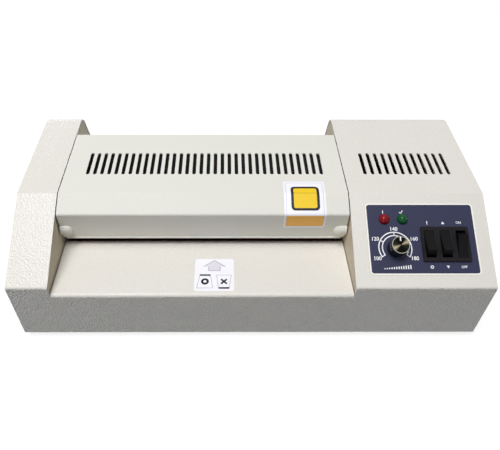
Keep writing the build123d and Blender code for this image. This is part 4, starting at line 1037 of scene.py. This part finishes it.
class LAMINATOR_OT_stage(bpy.types.Operator):
    """Set the pale floor, the lamps, the sky and the camera"""

    bl_idname = "laminator.stage"
    bl_label = "Stage"

    def execute(self, context):
        settings = context.scene.laminator_stage
        self.lay_floor(settings)
        self.light_sky(settings)
        side = settings.side_power
        self.hang_lamp("large soft lamp", (-0.45, -0.44, 2.5), 1.2, settings.key_power)
        self.hang_lamp("small hard lamp", (-1.1, -0.75, 2.5), 0.14, settings.spark_power)
        self.hang_lamp("low front lamp", (-1.1, -2.2, 0.95), 0.5, settings.fill_power)
        self.hang_lamp("low rear lamp", (-1.2, 2.1, 0.5), 0.6, side)
        self.hang_lamp("low right lamp", (2.2, 0.35, 0.2), 0.3, side)
        self.place_camera(context)
        context.scene.view_settings.view_transform = "Standard"
        return {"FINISHED"}

    def seen(self, tree):
        """Output that is 1 where the camera, a reflection or a view through glass looks."""
        path = add_node(tree, "LightPath")
        direct = {0: path.outputs["Is Camera Ray"], 1: path.outputs["Is Glossy Ray"]}
        either = add_node(tree, "Math", direct, operation="MAXIMUM")
        any_of_them = {0: either.outputs[0], 1: path.outputs["Is Transmission Ray"]}
        return add_node(tree, "Math", any_of_them, operation="MAXIMUM").outputs[0]

    def lay_floor(self, settings):
        # matt paper sweep: white to the camera, and it takes the object's soft shadow
        material, tree, shader = new_material("matt paper sweep")
        seen = self.seen(tree)
        shades = {SHARE: seen, FIRST: tuple(settings.bounce), SECOND: tuple(settings.floor)}
        shade = add_node(tree, "Mix", shades, data_type="RGBA")
        glow = add_node(tree, "Math", {0: seen, 1: settings.glow}, operation="MULTIPLY")
        wire(
            tree,
            shader,
            {
                "Base Color": shade.outputs[MIXED],
                "Roughness": 0.9,
                "Specular IOR Level": 0.0,
                "Emission Color": (1, 1, 1, 1),
                "Emission Strength": glow.outputs[0],
            },
        )
        half_width = 6.0
        bm = bmesh.new()
        bmesh.ops.create_grid(bm, x_segments=1, y_segments=1, size=half_width)
        mesh = bpy.data.meshes.new("studio_floor")
        bm.to_mesh(mesh)
        bm.free()
        mesh.materials.append(material)
        link_new("studio_floor", mesh)

    def light_sky(self, settings):
        world = bpy.data.worlds.new("studio sky")
        bpy.context.scene.world = world
        world.use_nodes = True
        tree = world.node_tree
        dim = shaded(settings.sky, settings.ambient)
        shades = {SHARE: self.seen(tree), FIRST: dim, SECOND: (1, 1, 1, 1)}
        light = add_node(tree, "Mix", shades, data_type="RGBA")
        wire(tree, tree.nodes["Background"], {"Color": light.outputs[MIXED], "Strength": 1.0})

    def hang_lamp(self, name, place, size, power):
        """Square lamp at a place in metres, aimed at the middle of the machine."""
        spot = Vector(place)
        target = Vector((0, 0, 0.06))
        lamp = bpy.data.lights.new(name, "AREA")
        lamp.shape = "SQUARE"
        lamp.size = size
        lamp.energy = power
        aim = (target - spot).to_track_quat("-Z", "Y")
        link_new(name, lamp).matrix_world = Matrix.Translation(spot) @ aim.to_matrix().to_4x4()

    def place_camera(self, context):
        """Camera fitted to the corners of the case in the photo."""
        lens_spot = Vector((-21.876, -370.956, 392.528)) * MM
        yaw = math.radians(0.3644)
        pitch = math.radians(43.4204)
        roll = math.radians(0.2343)
        focal_pixels = 500.0
        frame_pixels = 500.0
        centre_pixel = 227.835
        right = Vector((math.cos(yaw), -math.sin(yaw), 0))
        ahead = Vector(
            (math.sin(yaw) * math.cos(pitch), math.cos(yaw) * math.cos(pitch), -math.sin(pitch))
        )
        up = right.cross(ahead)
        tilted_right = right * math.cos(roll) + up * math.sin(roll)
        tilted_up = up * math.cos(roll) - right * math.sin(roll)
        turn = Matrix((tilted_right, tilted_up, -ahead)).transposed().to_4x4()
        data = bpy.data.cameras.new("photo camera")
        data.sensor_width = 36.0
        data.lens = data.sensor_width * focal_pixels / frame_pixels
        data.shift_x = (frame_pixels / 2 - centre_pixel) / frame_pixels
        data.clip_start = 0.01
        holder = link_new("photo camera", data)
        holder.matrix_world = Matrix.Translation(lens_spot) @ turn
        context.scene.camera = holder


GROUPS = {
    "laminator_paint": PaintSettings,
    "laminator_panel": PanelSettings,
    "laminator_knob": KnobSettings,
    "laminator_cloth": ShadeSheetSettings,
    "laminator_sticker": StickerSettings,
    "laminator_stage": StageSettings,
}
OPERATORS = (
    LAMINATOR_OT_paint,
    LAMINATOR_OT_chassis,
    LAMINATOR_OT_vent_shade_sheet,
    LAMINATOR_OT_rollers,
    LAMINATOR_OT_electrics,
    LAMINATOR_OT_panel_film,
    LAMINATOR_OT_knob,
    LAMINATOR_OT_switches,
    LAMINATOR_OT_lamps,
    LAMINATOR_OT_stickers,
    LAMINATOR_OT_stage,
)


class LAMINATOR_PT_sidebar(bpy.types.Panel):
    """Lists the laminator's settings and the steps that dress it"""

    bl_label = "Laminator"
    bl_idname = "LAMINATOR_PT_sidebar"
    bl_space_type = "VIEW_3D"
    bl_region_type = "UI"
    bl_category = "Laminator"

    def draw(self, context):
        for name, group in GROUPS.items():
            box = self.layout.box()
            for setting in group.__annotations__:
                box.prop(getattr(context.scene, name), setting)
        for operator in OPERATORS:
            self.layout.operator(operator.bl_idname)


def register():
    for group in GROUPS.values():
        bpy.utils.register_class(group)
    for operator in OPERATORS:
        bpy.utils.register_class(operator)
    bpy.utils.register_class(LAMINATOR_PT_sidebar)
    for name, group in GROUPS.items():
        setattr(bpy.types.Scene, name, PointerProperty(type=group))


def unregister():
    for name in GROUPS:
        delattr(bpy.types.Scene, name)
    bpy.utils.unregister_class(LAMINATOR_PT_sidebar)
    for operator in reversed(OPERATORS):
        bpy.utils.unregister_class(operator)
    for group in reversed(GROUPS.values()):
        bpy.utils.unregister_class(group)


def main():
    """Dress the laminator step by step."""
    register()
    for operator in OPERATORS:
        family, step = operator.bl_idname.split(".")
        getattr(getattr(bpy.ops, family), step)()


if __name__ == "__main__":
    main()
